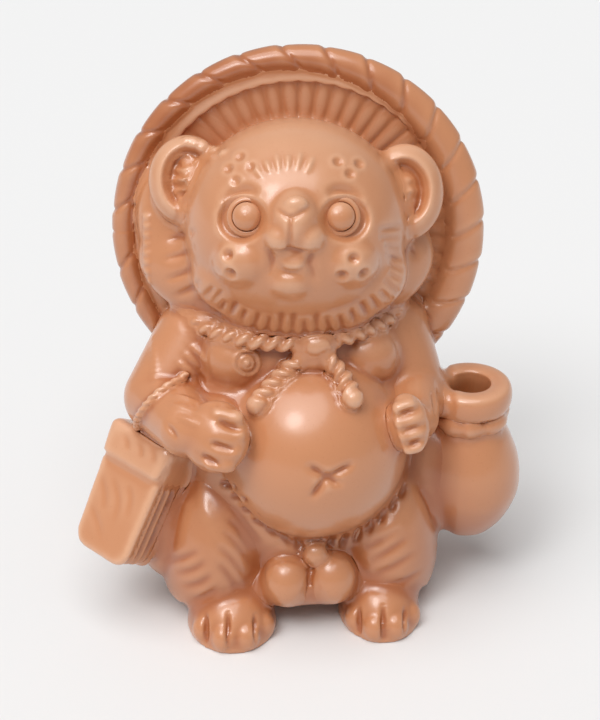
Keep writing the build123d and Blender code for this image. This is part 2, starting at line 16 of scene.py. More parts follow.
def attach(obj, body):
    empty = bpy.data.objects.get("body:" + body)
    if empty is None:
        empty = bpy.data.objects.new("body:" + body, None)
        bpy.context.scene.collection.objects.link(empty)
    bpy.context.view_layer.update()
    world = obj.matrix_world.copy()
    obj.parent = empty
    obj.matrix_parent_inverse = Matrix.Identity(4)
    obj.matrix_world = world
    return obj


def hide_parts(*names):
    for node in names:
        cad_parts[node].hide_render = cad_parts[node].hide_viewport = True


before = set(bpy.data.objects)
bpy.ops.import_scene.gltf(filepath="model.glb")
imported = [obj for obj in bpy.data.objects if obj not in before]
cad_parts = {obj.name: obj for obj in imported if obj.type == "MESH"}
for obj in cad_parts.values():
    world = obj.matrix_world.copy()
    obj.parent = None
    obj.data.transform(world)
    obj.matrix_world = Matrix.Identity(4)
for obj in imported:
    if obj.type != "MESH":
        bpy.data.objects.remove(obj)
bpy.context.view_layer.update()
scene = bpy.context.scene

# %% [markdown]
# The camera comes first, because the marks in the clay are placed by where the photograph shows them: a line
# of sight through a pixel meets the clay at the spot that the potter pressed. A facing frame has x to the
# viewer's right, y up and z out of the front. Sizes are in millimetres until a piece is finished.

# %% Camera
MM = 0.001
CAMERA_TURN, CAMERA_RISE, CAMERA_DISTANCE = -6.5, 30.0, 450.0
CAMERA_TARGET = Vector((1.6, 2.5, 54.6))
PICTURE_WIDTH, PICTURE_HEIGHT, FOCAL_PIXELS, SENSOR_HEIGHT = 600, 720, 2000, 36


def facing(origin, turn, tilt):
    """Frame that is turned about the upright and tilted up."""
    right = Vector((cos(radians(turn)), sin(radians(turn)), 0))
    flat = cos(radians(tilt))
    ahead = Vector((sin(radians(turn)) * flat, -cos(radians(turn)) * flat, sin(radians(tilt))))
    place = Matrix((right, ahead.cross(right), ahead)).transposed().to_4x4()
    place.translation = origin
    return place


def placed(name, data):
    """A new object of the scene that holds the data."""
    made = bpy.data.objects.new(name, data)
    scene.collection.objects.link(made)
    return made


sight = facing(CAMERA_TARGET, CAMERA_TURN, CAMERA_RISE).to_3x3()
sight_right, sight_up, sight_back = (axis.copy() for axis in sight.col)
camera_spot = CAMERA_TARGET + CAMERA_DISTANCE * sight_back
camera_data = bpy.data.cameras.new("camera")
camera_data.sensor_fit = "VERTICAL"
camera_data.sensor_height = SENSOR_HEIGHT
camera_data.lens = SENSOR_HEIGHT * FOCAL_PIXELS / PICTURE_HEIGHT
camera_data.clip_start = 0.01
camera = placed("camera", camera_data)
camera.location = camera_spot * MM
camera.rotation_mode = "QUATERNION"
camera.rotation_quaternion = sight_back.to_track_quat("Z", "Y")
scene.camera = camera


def line_of_sight(u, v):
    """Direction from the camera through a pixel of the photograph."""
    across = (u - PICTURE_WIDTH / 2) / FOCAL_PIXELS
    down = (v - PICTURE_HEIGHT / 2) / FOCAL_PIXELS
    return (sight_right * across - sight_up * down - sight_back).normalized()


print("camera at", [round(v, 3) for v in camera.location], "lens", camera_data.lens)

# %% [markdown]
# Clay starts as a few plain lumps: balls pressed to three half sizes, and rolls that taper between points.
# They are pushed into one another in a bmesh, and one voxel remesh welds them to a single closed skin,
# much as a thumb does with wet clay.

# %% Lumps and rolls


def at(*spot):
    """Frame moved to a spot."""
    return Matrix.Translation(spot)


def spun(axis, angle):
    """Frame turned about one of its own axes."""
    return Matrix.Rotation(radians(angle), 4, axis)


def along(spot, run):
    """Frame at a spot, with its z axis along a direction."""
    return at(*spot) @ Vector(run).to_track_quat("Z", "Y").to_matrix().to_4x4()


def ball(clay, place, radii):
    """A ball pressed to three half sizes."""
    press = place @ Matrix.Diagonal((*radii, 1))
    bmesh.ops.create_icosphere(clay, subdivisions=5, radius=1, matrix=press)


def lumps(clay, table, place=Matrix()):
    """Presses a table of balls together, each a spot in a frame and three half sizes."""
    for spot, radii in table.values():
        ball(clay, place @ at(*spot), radii)


def roll(clay, points, radii):
    """A roll through the points, thicker and thinner as the radii say."""
    for point, radius in zip(points, radii):
        ball(clay, at(*point), (radius, radius, radius))
    for start, end, low, high in zip(points, points[1:], radii, radii[1:]):
        run = Vector(end) - Vector(start)
        place = along((Vector(start) + Vector(end)) / 2, run)
        bmesh.ops.create_cone(
            clay, cap_ends=True, segments=48, radius1=low, radius2=high, depth=run.length, matrix=place
        )


def smooth_line(points, count):
    """Rows of numbers along a curve that passes through the given rows."""
    rows = np.asarray(points, float)
    padded = np.vstack([2 * rows[0] - rows[1], rows, 2 * rows[-1] - rows[-2]])
    steps = np.linspace(0, len(rows) - 1, count)
    base = np.minimum(steps.astype(int), len(rows) - 2)
    t = (steps - base)[:, None]
    a, b, c, d = (padded[base + k] for k in range(4))
    return b + 0.5 * t * (c - a + t * (2 * a - 5 * b + 4 * c - d + t * (3 * (b - c) + d - a)))


def fade(values, start, span):
    """From 0 at the start to 1 a span further on. The span may be below 0."""
    return np.clip((values - start) / span, 0, 1)


def ridges(count, angle, blunt):
    """A wave of ridges round an axis, with sharp valleys between them."""
    return np.abs(np.cos(count * angle)) ** blunt - 0.8


print("lumps, rolls and smooth lines are ready")

# %% [markdown]
# A skin keeps its points in one array, so that hundreds of thousands of them can be moved at once. Relaxing
# draws each point towards its neighbours, as a wet sponge does. Pressing moves points along their normals
# near a line or a dot.

# %% Skins of clay
COARSE = 1.0
TURNED_AWAY, STROKE_SPOTS, STROKE_TAPER = -0.32, 20, 0.8
SIDES = (("right", -1), ("left", 1))


class Skin:
    """A closed skin of clay that can be relaxed, pressed and marked."""

    def __init__(self, name, clay, voxel=0.0, rounds=0):
        bmesh.ops.recalc_face_normals(clay, faces=clay.faces)
        mesh = bpy.data.meshes.new(name)
        clay.to_mesh(mesh)
        clay.free()
        self.object = placed(name, mesh)
        if voxel:
            weld = self.object.modifiers.new("weld", "REMESH")
            weld.mode = "VOXEL"
            weld.voxel_size = voxel * COARSE
            bpy.context.view_layer.update()
            ready = self.object.evaluated_get(bpy.context.evaluated_depsgraph_get())
            whole = bpy.data.meshes.new_from_object(ready)
            self.object.modifiers.clear()
            self.object.data = whole
            whole.name = name
            bpy.data.meshes.remove(mesh)
        mesh = self.object.data
        self.name = name
        self.points = self.read(mesh.vertices, "co")
        self.edges = np.empty(len(mesh.edges) * 2, np.int32)
        mesh.edges.foreach_get("vertices", self.edges)
        self.edges = self.edges.reshape(-1, 2)
        self.faces = [tuple(face.vertices) for face in mesh.polygons]
        self.close = self.slip = self.plain = np.zeros(len(self.points))
        # Offset of painted light and shade in the glaze colour: painted shade above 0, painted light below 0.
        self.shade_and_light_offset = 0.0
        self.relax(rounds)
        self.settle()

    @staticmethod
    def read(items, field):
        """Rows of three numbers from a field of mesh items."""
        flat = np.empty(len(items) * 3)
        items.foreach_get(field, flat)
        return flat.reshape(-1, 3)

    def mean(self, values):
        """The mean of each point's neighbours."""
        i, j = self.edges.T
        count = np.maximum(np.bincount(self.edges.ravel(), minlength=len(values)), 1)
        columns = values.reshape(len(values), -1).T
        total = [
            np.bincount(i, c[j], minlength=len(c)) + np.bincount(j, c[i], minlength=len(c)) for c in columns
        ]
        return (np.array(total) / count).T.reshape(values.shape)

    def relax(self, rounds, share=0.5):
        """Draws each point a share of the way to the mean of its neighbours."""
        for _ in range(rounds):
            self.points += share * (self.mean(self.points) - self.points)

    def settle(self):
        """Takes the points as the shape that the next marks are pressed into."""
        mesh = self.object.data
        mesh.vertices.foreach_set("co", self.points.ravel())
        mesh.update()
        self.normals = self.read(mesh.vertex_normals, "vector")
        self.tree = BVHTree.FromPolygons(self.points.tolist(), self.faces)

    def seen(self, u, v):
        """The spot on this skin that a pixel shows, or None where the clay is missing or turns away."""
        sight = line_of_sight(u, v)
        hit, normal, _, _ = self.tree.ray_cast(camera_spot, sight)
        return hit if hit is not None and normal.dot(sight) < TURNED_AWAY else None

    def press(self, spots, width, depth, sharp=2.0, taper=0.0):
        """Presses a groove along the spots, or raises a ridge where depth is below 0."""
        if len(spots) == 0:
            return
        spots = np.array(spots)
        margin = 2.2 * width
        low, high = spots.min(0) - margin, spots.max(0) + margin
        chosen = np.flatnonzero(((self.points > low) & (self.points < high)).all(1))
        if len(chosen) == 0:
            return
        gaps = ((self.points[chosen][:, None, :] - spots[None, :, :]) ** 2).sum(2)
        along = gaps.argmin(1) / max(len(spots) - 1, 1)
        reach = np.sqrt(gaps.min(1)) / width
        share = np.exp(-(reach ** sharp)) * np.sin(pi * np.clip(along, 0.02, 0.98)) ** taper
        self.points[chosen] -= self.normals[chosen] * (depth * share)[:, None]

    def groove(self, pixels, width, depth, count=24, **shape):
        """Presses along a smooth line through pixels, where they show this skin."""
        spots = [self.seen(u, v) for u, v in smooth_line(np.reshape(pixels, (-1, 2)), count)]
        self.press([spot for spot in spots if spot is not None], width, depth, **shape)

    def swell(self, heights):
        """Moves every point out along its normal."""
        self.points += self.normals * heights[:, None]

    def comb(self, strokes, width, depth):
        """Presses strokes of fur that fade out at both ends."""
        for stroke in strokes:
            self.groove(stroke, width, depth, STROKE_SPOTS, taper=STROKE_TAPER)


def local(skin, place):
    """The skin's points in a frame of its own."""
    turn = np.array(place.to_3x3())
    return (skin.points - np.array(place.translation)) @ turn


print("skins work at", round(COARSE, 2), "times the full voxel size")

# %% [markdown]
# The trunk is a hollow casting. Its skin is a stack of ovals, bridged from the seat to the neck, with the
# round belly and the two breasts pressed on. A roll of slip lies behind the place of the hat's cord. The
# underside is flat, with the hole that the slip was poured from.

# %% Trunk


def ring(clay, segments, radius, place):
    """A circle in a frame, as its points and its edges."""
    verts = bmesh.ops.create_circle(clay, segments=segments, radius=radius, matrix=place)["verts"]
    return verts, list({edge for vert in verts for edge in vert.link_edges})


def bridged(clay, loops):
    """Bridges loops of edges, one to the next, and closes both ends."""
    for low, high in zip(loops, loops[1:]):
        bmesh.ops.bridge_loops(clay, edges=low + high)
    bmesh.ops.holes_fill(clay, edges=loops[0] + loops[-1], sides=0)


TRUNK_LEVELS = (
    (5, 20, 17, 0), (17, 26.5, 22, 0), (36, 28.5, 23.5, 0), (52, 27, 20.5, 1.5),
    (63, 25.5, 17, 3), (73, 20, 14, 4), (80, 13, 10, 4),
)
TRUNK_LUMPS = {
    "belly": ((2.6, -12, 42), (21.3, 21.3, 21.3)),
    "right_breast": ((-13.2, -7.2, 62), (7.6, 7.4, 7.6)),
    "left_breast": ((15.2, -7, 60.8), (7.4, 7.4, 7.4)),
    "web_of_legs": ((0.6, -20.2, 10), (14, 6.4, 5.2)),
    "under_knot": ((3.2, -14.8, 65), (4.5, 2.8, 3)),
}
SLIP_RADII = (1.9, 2.0, 2.0)
DRAIN_RADIUS, DRAIN_SOFT, DRAIN_DEPTH, SEAT_TOP = 5.4, 0.7, 12, 7
clay = bmesh.new()
loops = []
for z, half_width, half_depth, middle in smooth_line(TRUNK_LEVELS, 37):
    place = at(0, middle, z) @ Matrix.Diagonal((half_width, half_depth, 1, 1))
    loops.append(ring(clay, 72, 1, place)[1])
bridged(clay, loops)
lumps(clay, TRUNK_LUMPS)
for side in (-1, 1):
    roll(clay, ((3.2, -12.3, 69.2), (side * 11, -10, 69.9), (side * 20.2, -2.4, 69.9)), SLIP_RADII)
trunk = Skin("trunk", clay, voxel=0.44, rounds=9)
x, y, z = trunk.points.T
well = fade(np.hypot(x, y), DRAIN_RADIUS, -DRAIN_SOFT)
trunk.points[:, 2] += np.where(z < SEAT_TOP, DRAIN_DEPTH * well, 0)
trunk.settle()
print("trunk", len(trunk.points), "points")

# %% [markdown]
# The head is a ball that is turned a little and looks up. A ruff of fur behind it fills the hat's hollow.
# Cheeks, jowls, muzzle and chin are pressed on and welded, because no join shows between them on the real
# face. The step from the face to the ruff is then wiped soft.

# %% Head
HEAD_PLACE = facing((0.5, 0.5, 90), -6.5, 28)
HEAD_LUMPS = {
    "skull": ((0, 0, 0), (24.2, 22.6, 22)),
    "ruff": ((-2.2, -6.5, -8.5), (32.5, 18, 11.5)),
    "ruff_behind_ear": ((-24, 2, -8), (11, 15, 7)),
    "right_cheek": ((-9.8, -7.8, 10.6), (8.2, 6.8, 9.2)),
    "right_of_muzzle": ((-3.1, -3.7, 14.4), (4.9, 4.9, 9.8)),
    "left_cheek": ((9.8, -7.8, 10.6), (8.2, 6.8, 9.2)),
    "left_of_muzzle": ((2.7, -3.7, 14.4), (4.9, 4.9, 9.8)),
    "bridge_of_muzzle": ((-0.2, -0.2, 13.3), (7.0, 8.6, 12.2)),
    "left_jowl": ((13.6, -10.6, 1.5), (10.6, 9.2, 10)),
    "right_jowl": ((-12.6, -10.8, 1.5), (10, 9, 10)),
    "jaw": ((0.6, -15.2, 0.5), (19, 9.6, 11.5)),
    "nose": ((0.1, 3.0, 24.1), (2.5, 1.7, 1.5)),
    "lower_lip": ((0.1, -8.9, 18.2), (4.2, 2.5, 2.8)),
    "chin": ((-1, -12.2, 12.6), (6.4, 4.6, 6.8)),
}
RUFF_FROM, RUFF_TO, RUFF_ROUNDS = -8, 10, 60
clay = bmesh.new()
lumps(clay, HEAD_LUMPS, HEAD_PLACE)
head = Skin("head", clay, voxel=0.36, rounds=11)
z = local(head, HEAD_PLACE)[:, 2]
step_to_ruff = fade(z, RUFF_TO, -6) * fade(z, RUFF_FROM, 4)
head.relax(RUFF_ROUNDS, 0.5 * step_to_ruff[:, None])
head.settle()
print("head", len(head.points), "points")

# %% Eye sockets
EYE_SPOTS = {"right": -9.9, "left": 9.0}
SOCKET_RADIUS, SOCKET_SOFT, SOCKET_DEPTH, SOCKET_OUTWARD = 5.7, 1.9, 1.8, 1.2
for name, side in SIDES:
    x, y, z = local(head, HEAD_PLACE).T
    away = np.hypot(x - EYE_SPOTS[name] - side * SOCKET_OUTWARD, y * 1.08)
    soft = fade(away, SOCKET_RADIUS, -SOCKET_SOFT)
    hollow = SOCKET_DEPTH * soft * soft * (3 - 2 * soft) * (z > 0)
    head.points -= np.outer(hollow, HEAD_PLACE.to_3x3().col[2])
head.relax(2)
head.settle()
print("eye sockets pressed in")

# %% [markdown]
# Arms are rolls of clay from the shoulder over the elbow to the wrist, with a pad for the hand and four
# fingers laid on it, whose sizes are shares of the hand's. Both hands lie on the belly, the left one at the
# side of the bottle. A lump of slip fills the space between the right forearm and the belly.

# %% Arms and hands
ARM_ROUTES = {
    "right": ((-21.5, 2, 62), (-30.2, -4, 51), (-25.2, -18.8, 52), (-18.6, -25, 53)),
    "left": ((21.5, 2, 61), (25.6, -3, 49.5), (24.5, -16.5, 49.5), (22.5, -23, 51.5)),
}
HAND_PLACES = {"right": facing((-19.4, -24.8, 52.8), -30, 25), "left": facing((22.3, -23, 52), 30, 20)}
HAND_RADII = {"right": (7.7, 7.8, 5.2), "left": (4.6, 6.9, 4.4)}
ARM_RADII = {"right": (9.4, 8.2, 6.7, 5.4), "left": (9.2, 8.2, 5.6, 4.4)}
FOREARM_FILLS = {"right": {"to_belly": ((-18.5, -16, 50.5), (6.5, 6, 6))}, "left": {}}
FINGER_PITCH, KNUCKLE_RADIUS, TIP_RADIUS = 0.43, 0.25, 0.27
arms = {}
for name, route in ARM_ROUTES.items():
    clay = bmesh.new()
    roll(clay, route, ARM_RADII[name])
    hand = HAND_PLACES[name]
    ball(clay, hand, HAND_RADII[name])
    lumps(clay, FOREARM_FILLS[name])
    inward = 1 if name == "right" else -1
    wide, tall, deep = HAND_RADII[name]
    for finger in range(4):
        up = (1.5 - finger) * FINGER_PITCH * tall
        reach = wide * (1 - (up / 1.3 / tall) ** 2)
        knuckle = hand @ Vector((0.1 * inward * wide, up, 0.5 * deep))
        tip = hand @ Vector((inward * 0.72 * reach, up * 0.96, 0.28 * deep))
        roll(clay, (knuckle, tip), (KNUCKLE_RADIUS * tall, TIP_RADIUS * tall))
    arms[name] = Skin(f"{name}_arm", clay, voxel=0.36, rounds=12)
    print(name, "arm", len(arms[name].points), "points")

# %% [markdown]
# Legs are fat ovals that lean outwards, with slip that fills the space to the book and to the bottle. Each
# foot is half a lump that is cut flat, with four toes side by side at the front. The tail stands behind, and
# locks of fur wave down it.

# %% Legs, feet and tail


def stand(clay, height):
    """Cuts the clay flat at a height and closes the cut."""
    everything = clay.verts[:] + clay.edges[:] + clay.faces[:]
    bmesh.ops.bisect_plane(
        clay, geom=everything, plane_co=(0, 0, height), plane_no=(0, 0, -1), clear_outer=True
    )
    bmesh.ops.holes_fill(clay, edges=[edge for edge in clay.edges if edge.is_boundary], sides=0)


LEG_SPOT, LEG_RADII, LEG_LEAN, LEG_CUT = (19.6, -10, 15.5), (12.2, 15.5, 21), 6, 5
LEG_FILLS = {
    "right": {"to_book": ((-28.5, -8, 19.5), (9, 10, 13.5))},
    "left": {"to_bottle": ((29, -6, 28), (8, 9, 14.5))},
}
FOOT_SPOTS, FOOT_MIDDLE, FOOT_HALF = {"right": (-16.6, 10.1), "left": (17.2, 9.3)}, -20.3, 12.0
TOE_ANGLES, TOE_RADII = (-56, -19, 19, 56), (3.0, 3.0, 3.6)
TOE_INSET, TOE_AHEAD, TOE_HEIGHT = 2.4, 9.8, 2.8
TAIL_PLACE, TAIL_RADII, TAIL_LOCKS, LOCK_HEIGHT = at(0, 22.5, 11), (9, 10, 17), 9, 0.42
legs, feet = {}, {}
for name, side in SIDES:
    clay = bmesh.new()
    x, y, z = LEG_SPOT
    ball(clay, at(side * x, y, z) @ spun("Y", -side * LEG_LEAN), LEG_RADII)
    stand(clay, LEG_CUT)
    lumps(clay, LEG_FILLS[name])
    legs[name] = Skin(f"{name}_leg", clay, voxel=0.45, rounds=7)

    clay = bmesh.new()
    across, half_width = FOOT_SPOTS[name]
    ball(clay, at(across, FOOT_MIDDLE, 0), (half_width, FOOT_HALF, FOOT_HALF))
    for toe in TOE_ANGLES:
        x, y = (half_width - TOE_INSET) * sin(radians(toe)), TOE_AHEAD * cos(radians(toe))
        ball(clay, at(across + x, FOOT_MIDDLE - y, TOE_HEIGHT), TOE_RADII)
    stand(clay, 0)
    feet[name] = Skin(f"{name}_foot", clay, voxel=0.36, rounds=5)

clay = bmesh.new()
ball(clay, TAIL_PLACE, TAIL_RADII)
stand(clay, 0)
tail = Skin("tail", clay, voxel=0.4, rounds=6)
x, y, z = local(tail, TAIL_PLACE).T
angle = np.arctan2(x, y) + 0.12 * np.sin(z / 2.4)
tail.swell(LOCK_HEIGHT * ridges(TAIL_LOCKS, angle, 0.5) * fade(np.abs(z), 16.5, -6))
tail.settle()
print("legs, feet and tail", sum(len(s.points) for s in (*legs.values(), *feet.values(), tail)), "points")

# %% [markdown]
# Between the legs hangs the money bag of such figures, two plump lobes with a small nub above them.

# %% Money bag
BAG_LUMPS = {
    "right_lobe": ((-4.3, -23.6, 12.6), (5.6, 5.5, 6.8)),
    "left_lobe": ((5.9, -23.6, 12.6), (5.6, 5.5, 6.8)),
    "middle": ((0.8, -21.8, 12.2), (7, 4.4, 5.6)),
}
NUB_SPOT, NUB_RADII = (2.2, -23.4, 19.8), (2.9, 2.7, 3.0)
clay = bmesh.new()
lumps(clay, BAG_LUMPS)
money_bag = Skin("money_bag", clay, voxel=0.4, rounds=7)
clay = bmesh.new()
ball(clay, at(*NUB_SPOT), NUB_RADII)
bag_nub = Skin("bag_nub", clay, voxel=0.35, rounds=3)
print("bag", len(money_bag.points), "nub", len(bag_nub.points), "points")

# %% [markdown]
# The sedge hat hangs behind the head, so its ribbed underside faces the viewer. Its section is turned with
# spin about the hat's own axis, and the ribs are then raised by a wave round that axis. The rim is a thick
# roll, bound with slanting turns, so its grooves follow a slanting wave.

# %% Sedge hat


def spun_round(name, clay, start, steps, place, merge=0.01):
    """A skin made by turning points and edges once about the upright of a frame."""
    bmesh.ops.spin(
        clay, geom=start, cent=(0, 0, 0), axis=(0, 0, 1), angle=2 * pi, steps=steps, use_merge=True
    )
    bmesh.ops.remove_doubles(clay, verts=clay.verts, dist=merge)
    bmesh.ops.transform(clay, matrix=place, verts=clay.verts)
    return Skin(name, clay)


def turned(name, section, count, steps, place, merge=0.01):
    """A skin turned from a section, which is given as radius and height."""
    clay = bmesh.new()
    rows = smooth_line(section, count)
    rows[0, 0] = rows[-1, 0] = 0
    verts = [clay.verts.new((r, 0, height)) for r, height in rows]
    edges = [clay.edges.new(pair) for pair in zip(verts, verts[1:])]
    return spun_round(name, clay, verts + edges, steps, place, merge)


HAT_PLACE = facing((2, 9.5, 83.4), -6.5, 9.6)
HAT_SECTION = (
    (0, -5.4), (8, -5.4), (14, -4.7), (20, -3.8), (26, -2.7), (32.4, -1.4), (33.3, -1.1), (33.5, -0.3),
    (34.2, 0), (36, 0), (38, 0), (39, -2), (38, -4), (30, -8.2), (20, -13), (12, -16.7), (7, -19), (4, -20.4),
    (0, -21),
)
hat_shell = turned("hat_shell", HAT_SECTION, 110, 480, HAT_PLACE)
print("hat shell", len(hat_shell.points), "points")

# %% Ribs under the hat
RIBS, RIB_FROM, RIB_TO, RIB_HEIGHT = 54, 12, 33.8, 0.48
RIB_UNEVEN, RIB_HIGHEST, CROWN_HEIGHT = 0.3, 50, 0.22
x, y, z = local(hat_shell, HAT_PLACE).T
radius, angle = np.hypot(x, y), np.arctan2(y, x)
underside = z > -9 * (1 - radius / 42) - 1
within = fade(radius, RIB_FROM, 8) * fade(radius, RIB_TO, -0.5)
uneven = RIB_HEIGHT + RIB_UNEVEN * np.cos(angle - radians(RIB_HIGHEST))
bars = uneven * within * ridges(RIBS / 2, angle, 0.45)
outside = fade(radius, 5, 8) * fade(radius, 37.5, -2)
hat_shell.swell(np.where(underside, bars, CROWN_HEIGHT * outside * np.cos(RIBS * angle)))
hat_shell.settle()
print("ribs", RIBS)

# %% Lashed rim
RIM_RADIUS, RIM_THICK, RIM_LEVEL, RIM_START, RIM_END = 37.7, 3.5, -2, -58, 238
RIM_NARROW, RIM_BROADER, RIM_FLATTER = 0.76, 0.5, 0.06
LASHING_PITCH, LASHING_SLANT, LASHING_LAP, GROOVE_DEPTH, GROOVE_WIDTH = 13.1, 34, 0.24, 0.42, 0.55
clay = bmesh.new()
verts, edges = ring(clay, 40, RIM_THICK, at(RIM_RADIUS, 0, RIM_LEVEL) @ spun("X", 90))
bmesh.ops.rotate(clay, verts=verts, cent=(0, 0, 0), matrix=spun("Z", RIM_START).to_3x3())
sweep = radians(RIM_END - RIM_START)
bmesh.ops.spin(clay, geom=verts + edges, cent=(0, 0, 0), axis=(0, 0, 1), angle=sweep, steps=620)
bmesh.ops.holes_fill(clay, edges=[edge for edge in clay.edges if edge.is_boundary], sides=0)
bmesh.ops.transform(clay, matrix=HAT_PLACE, verts=clay.verts)
hat_rim = Skin("hat_rim", clay)
x, y, z = local(hat_rim, HAT_PLACE).T
out = np.hypot(x, y) - RIM_RADIUS
turn = np.degrees(np.arctan2(y, x)) - np.degrees(tan(radians(LASHING_SLANT)) * out / RIM_RADIUS)
turn = (turn + LASHING_PITCH / 2) % LASHING_PITCH - LASHING_PITCH / 2
across = np.radians(turn) * RIM_RADIUS * cos(radians(LASHING_SLANT))
step = (turn / LASHING_PITCH + 1) % 1
hat_rim.swell(LASHING_LAP * (0.5 - step) - GROOVE_DEPTH * np.exp(-((across / GROOVE_WIDTH) ** 2)))
broad = RIM_NARROW + RIM_BROADER * np.clip(x / RIM_RADIUS + 0.1, 0, 1.1)
inward = np.clip(RIM_RADIUS + RIM_THICK - np.hypot(x, y), 0, None) * (broad - 1)
axis_x, axis_y, axis_z = (np.array(HAT_PLACE.to_3x3().col[k]) for k in range(3))
hat_rim.points -= np.outer(inward * x / RIM_RADIUS, axis_x) + np.outer(inward * y / RIM_RADIUS, axis_y)
hat_rim.points -= np.outer(RIM_FLATTER * np.clip(z - RIM_LEVEL, 0, None), axis_z)
hat_rim.settle()
print("rim", len(hat_rim.points), "points")

# %% [markdown]
# Each ear is a thick disc whose front is dished with a thumb, with a small swelling left inside.

# %% Ears
EAR_OUT, EAR_UP, EAR_TURN, EAR_RADII = 23.4, 6.5, 14, (8.6, 10.4, 4.8)
EAR_RAISED = {"right": 2.6, "left": 0}
DISH_WIDE, DISH_TALL, DISH_DEPTH = 5.6, 7.2, 3.4
SWELLING_WIDE, SWELLING_TALL, SWELLING = 2.3, 4.2, 2.9
ears = {}
for name, side in SIDES:
    raised = EAR_RAISED[name]
    place = HEAD_PLACE @ at(side * EAR_OUT, EAR_UP + raised, 1) @ spun("Y", side * EAR_TURN)
    clay = bmesh.new()
    wide, tall, thick = EAR_RADII
    ball(clay, place, (wide, tall - 0.3 * raised, thick))
    ear = Skin(f"{name}_ear", clay, voxel=0.36, rounds=3)
    x, y, z = local(ear, place).T
    dish = np.clip(1 - ((x + side) / DISH_WIDE) ** 2 - (y / DISH_TALL) ** 2, 0, 1)
    bump = np.exp(-(((x + side * 0.8) / SWELLING_WIDE) ** 2 + ((y + 0.8) / SWELLING_TALL) ** 2))
    bump = bump * (1 + 0.2 * np.cos(2.4 * y))
    depth = np.where(z > 0, DISH_DEPTH * np.minimum(dish * 2.4, 1) - SWELLING * bump * (dish > 0), 0)
    ear.points -= np.outer(depth, place.to_3x3().col[2])
    ear.relax(3)
    ear.settle()
    ears[name] = ear
    print(name, "ear", len(ear.points), "points")

# %% [markdown]
# The hat is tied on with a twisted cord of two strands. Each strand is a row of circles that turn about the
# cord's line as they go along it, bridged one to the next and then welded.

# %% Twisted cords
STRAND_OUT, STRAND_THICK = 0.36, 0.68


def twisted(clay, route, radii, lay, steps):
    """Two strands wound about a smooth line."""
    line = smooth_line(route, steps)
    thick = smooth_line([[r] for r in radii], steps)[:, 0]
    run = np.gradient(line, axis=0)
    length = np.concatenate([[0], np.cumsum(np.linalg.norm(np.diff(line, axis=0), axis=1))])
    for strand in (0, pi):
        loops = []
        for spot, ahead, radius, far in zip(line, run, thick, length):
            twist = Matrix.Rotation(strand + 2 * pi * far / lay, 4, "Z")
            place = along(spot, ahead) @ twist @ at(STRAND_OUT * radius, 0, 0)
            loops.append(ring(clay, 16, STRAND_THICK * radius, place)[1])
        bridged(clay, loops)


KNOT = (3.2, -14.9, 68.3)
CORD_ROUTE = ((11, -12.6, 69.0), (20.2, -5, 68.8), (27.5, 7.5, 73))
CORD_LAY, END_LAY = 6.4, 5.8
cords = {}
for name, side in SIDES:
    clay = bmesh.new()
    route = [KNOT] + [(side * x, y, z) for x, y, z in CORD_ROUTE]
    twisted(clay, route, (2.0, 2.1, 2.1, 2.1), CORD_LAY * side, steps=110)
    cords[name] = Skin(f"{name}_hat_cord", clay, voxel=0.3, rounds=3)
ENDS = {
    "right": (KNOT, (-4.2, -16.4, 62.1), (-10.4, -20.8, 57.6)),
    "left": (KNOT, (8, -18.7, 62.7), (9.9, -24.2, 59.9)),
}
cord_ends = {}
for name, route in ENDS.items():
    clay = bmesh.new()
    twisted(clay, route, (1.8, 2.2, 2.5), END_LAY, steps=60)
    ball(clay, at(*route[-1]), (2.3, 2.3, 2.3))
    cord_ends[name] = Skin(f"{name}_cord_end", clay, voxel=0.3, rounds=3)
clay = bmesh.new()
ball(clay, facing(KNOT, -6.5, 28), (4.0, 3.0, 3.1))
knot = Skin("cord_knot", clay, voxel=0.3, rounds=3)
print("cords", sum(len(s.points) for s in (*cords.values(), *cord_ends.values(), knot)), "points")

# %% [markdown]
# The account book is a stack: pages between two covers, with a folded band over the top. Each is a cube that
# is sized, bevelled and welded, so that its edges are as soft as cast clay. The front is left bare.

# %% Account book
BOOK_PLACE = facing((-37.3, -10.5, 29.4), -48, 30) @ spun("Z", -3)


def slab(name, place, size, rounding, rounds, corner=1.8):
    """A block of clay with round corners and soft edges."""
    clay = bmesh.new()
    bmesh.ops.create_cube(clay, size=1, matrix=Matrix.Diagonal((*size, 1)))
    upright = [edge for edge in clay.edges if abs(edge.verts[0].co.z - edge.verts[1].co.z) > 0.5]
    bmesh.ops.bevel(clay, geom=upright, offset=corner, affect="EDGES", segments=4, profile=0.5, material=-1)
    edges = clay.edges[:]
    bmesh.ops.bevel(clay, geom=edges, offset=rounding, affect="EDGES", segments=3, profile=0.5, material=-1)
    bmesh.ops.transform(clay, matrix=place, verts=clay.verts)
    return Skin(name, clay, 0.4, rounds)


COVER_SIZE = (16.2, 28.5, 2.0)
BOOK_WIDER, BOOK_FLARE, LEAF_HEIGHT, LEAF_PITCH = 0.09, 0.07, 0.45, 2.1
front_cover = slab("front_book_cover", BOOK_PLACE @ at(0, -0.5, 4.0), COVER_SIZE, 0.8, 12, 3.4)
back_cover = slab("back_book_cover", BOOK_PLACE @ at(0, -0.5, -4.0), COVER_SIZE, 0.8, 12, 3.4)
pages = slab("book_pages", BOOK_PLACE, (15.4, 27.5, 6.6), 0.6, 5, 2.6)
band = slab("book_band", BOOK_PLACE @ at(0, 10.8, 0), (16.6, 8.8, 12.2), 1.4, 12)
for piece in (front_cover, back_cover, pages, band):
    x, y, _ = local(piece, BOOK_PLACE).T
    piece.points += np.outer(x * (BOOK_WIDER + BOOK_FLARE * y / 14), BOOK_PLACE.to_3x3().col[0])
    piece.settle()
x, y, z = local(pages, BOOK_PLACE).T
open_edge = (np.abs(z) < 3.1) * ((x > 6.6) | (y < -12.8))
pages.swell(LEAF_HEIGHT * np.cos(2 * pi * z / LEAF_PITCH) * open_edge)
pages.settle()
clay = bmesh.new()
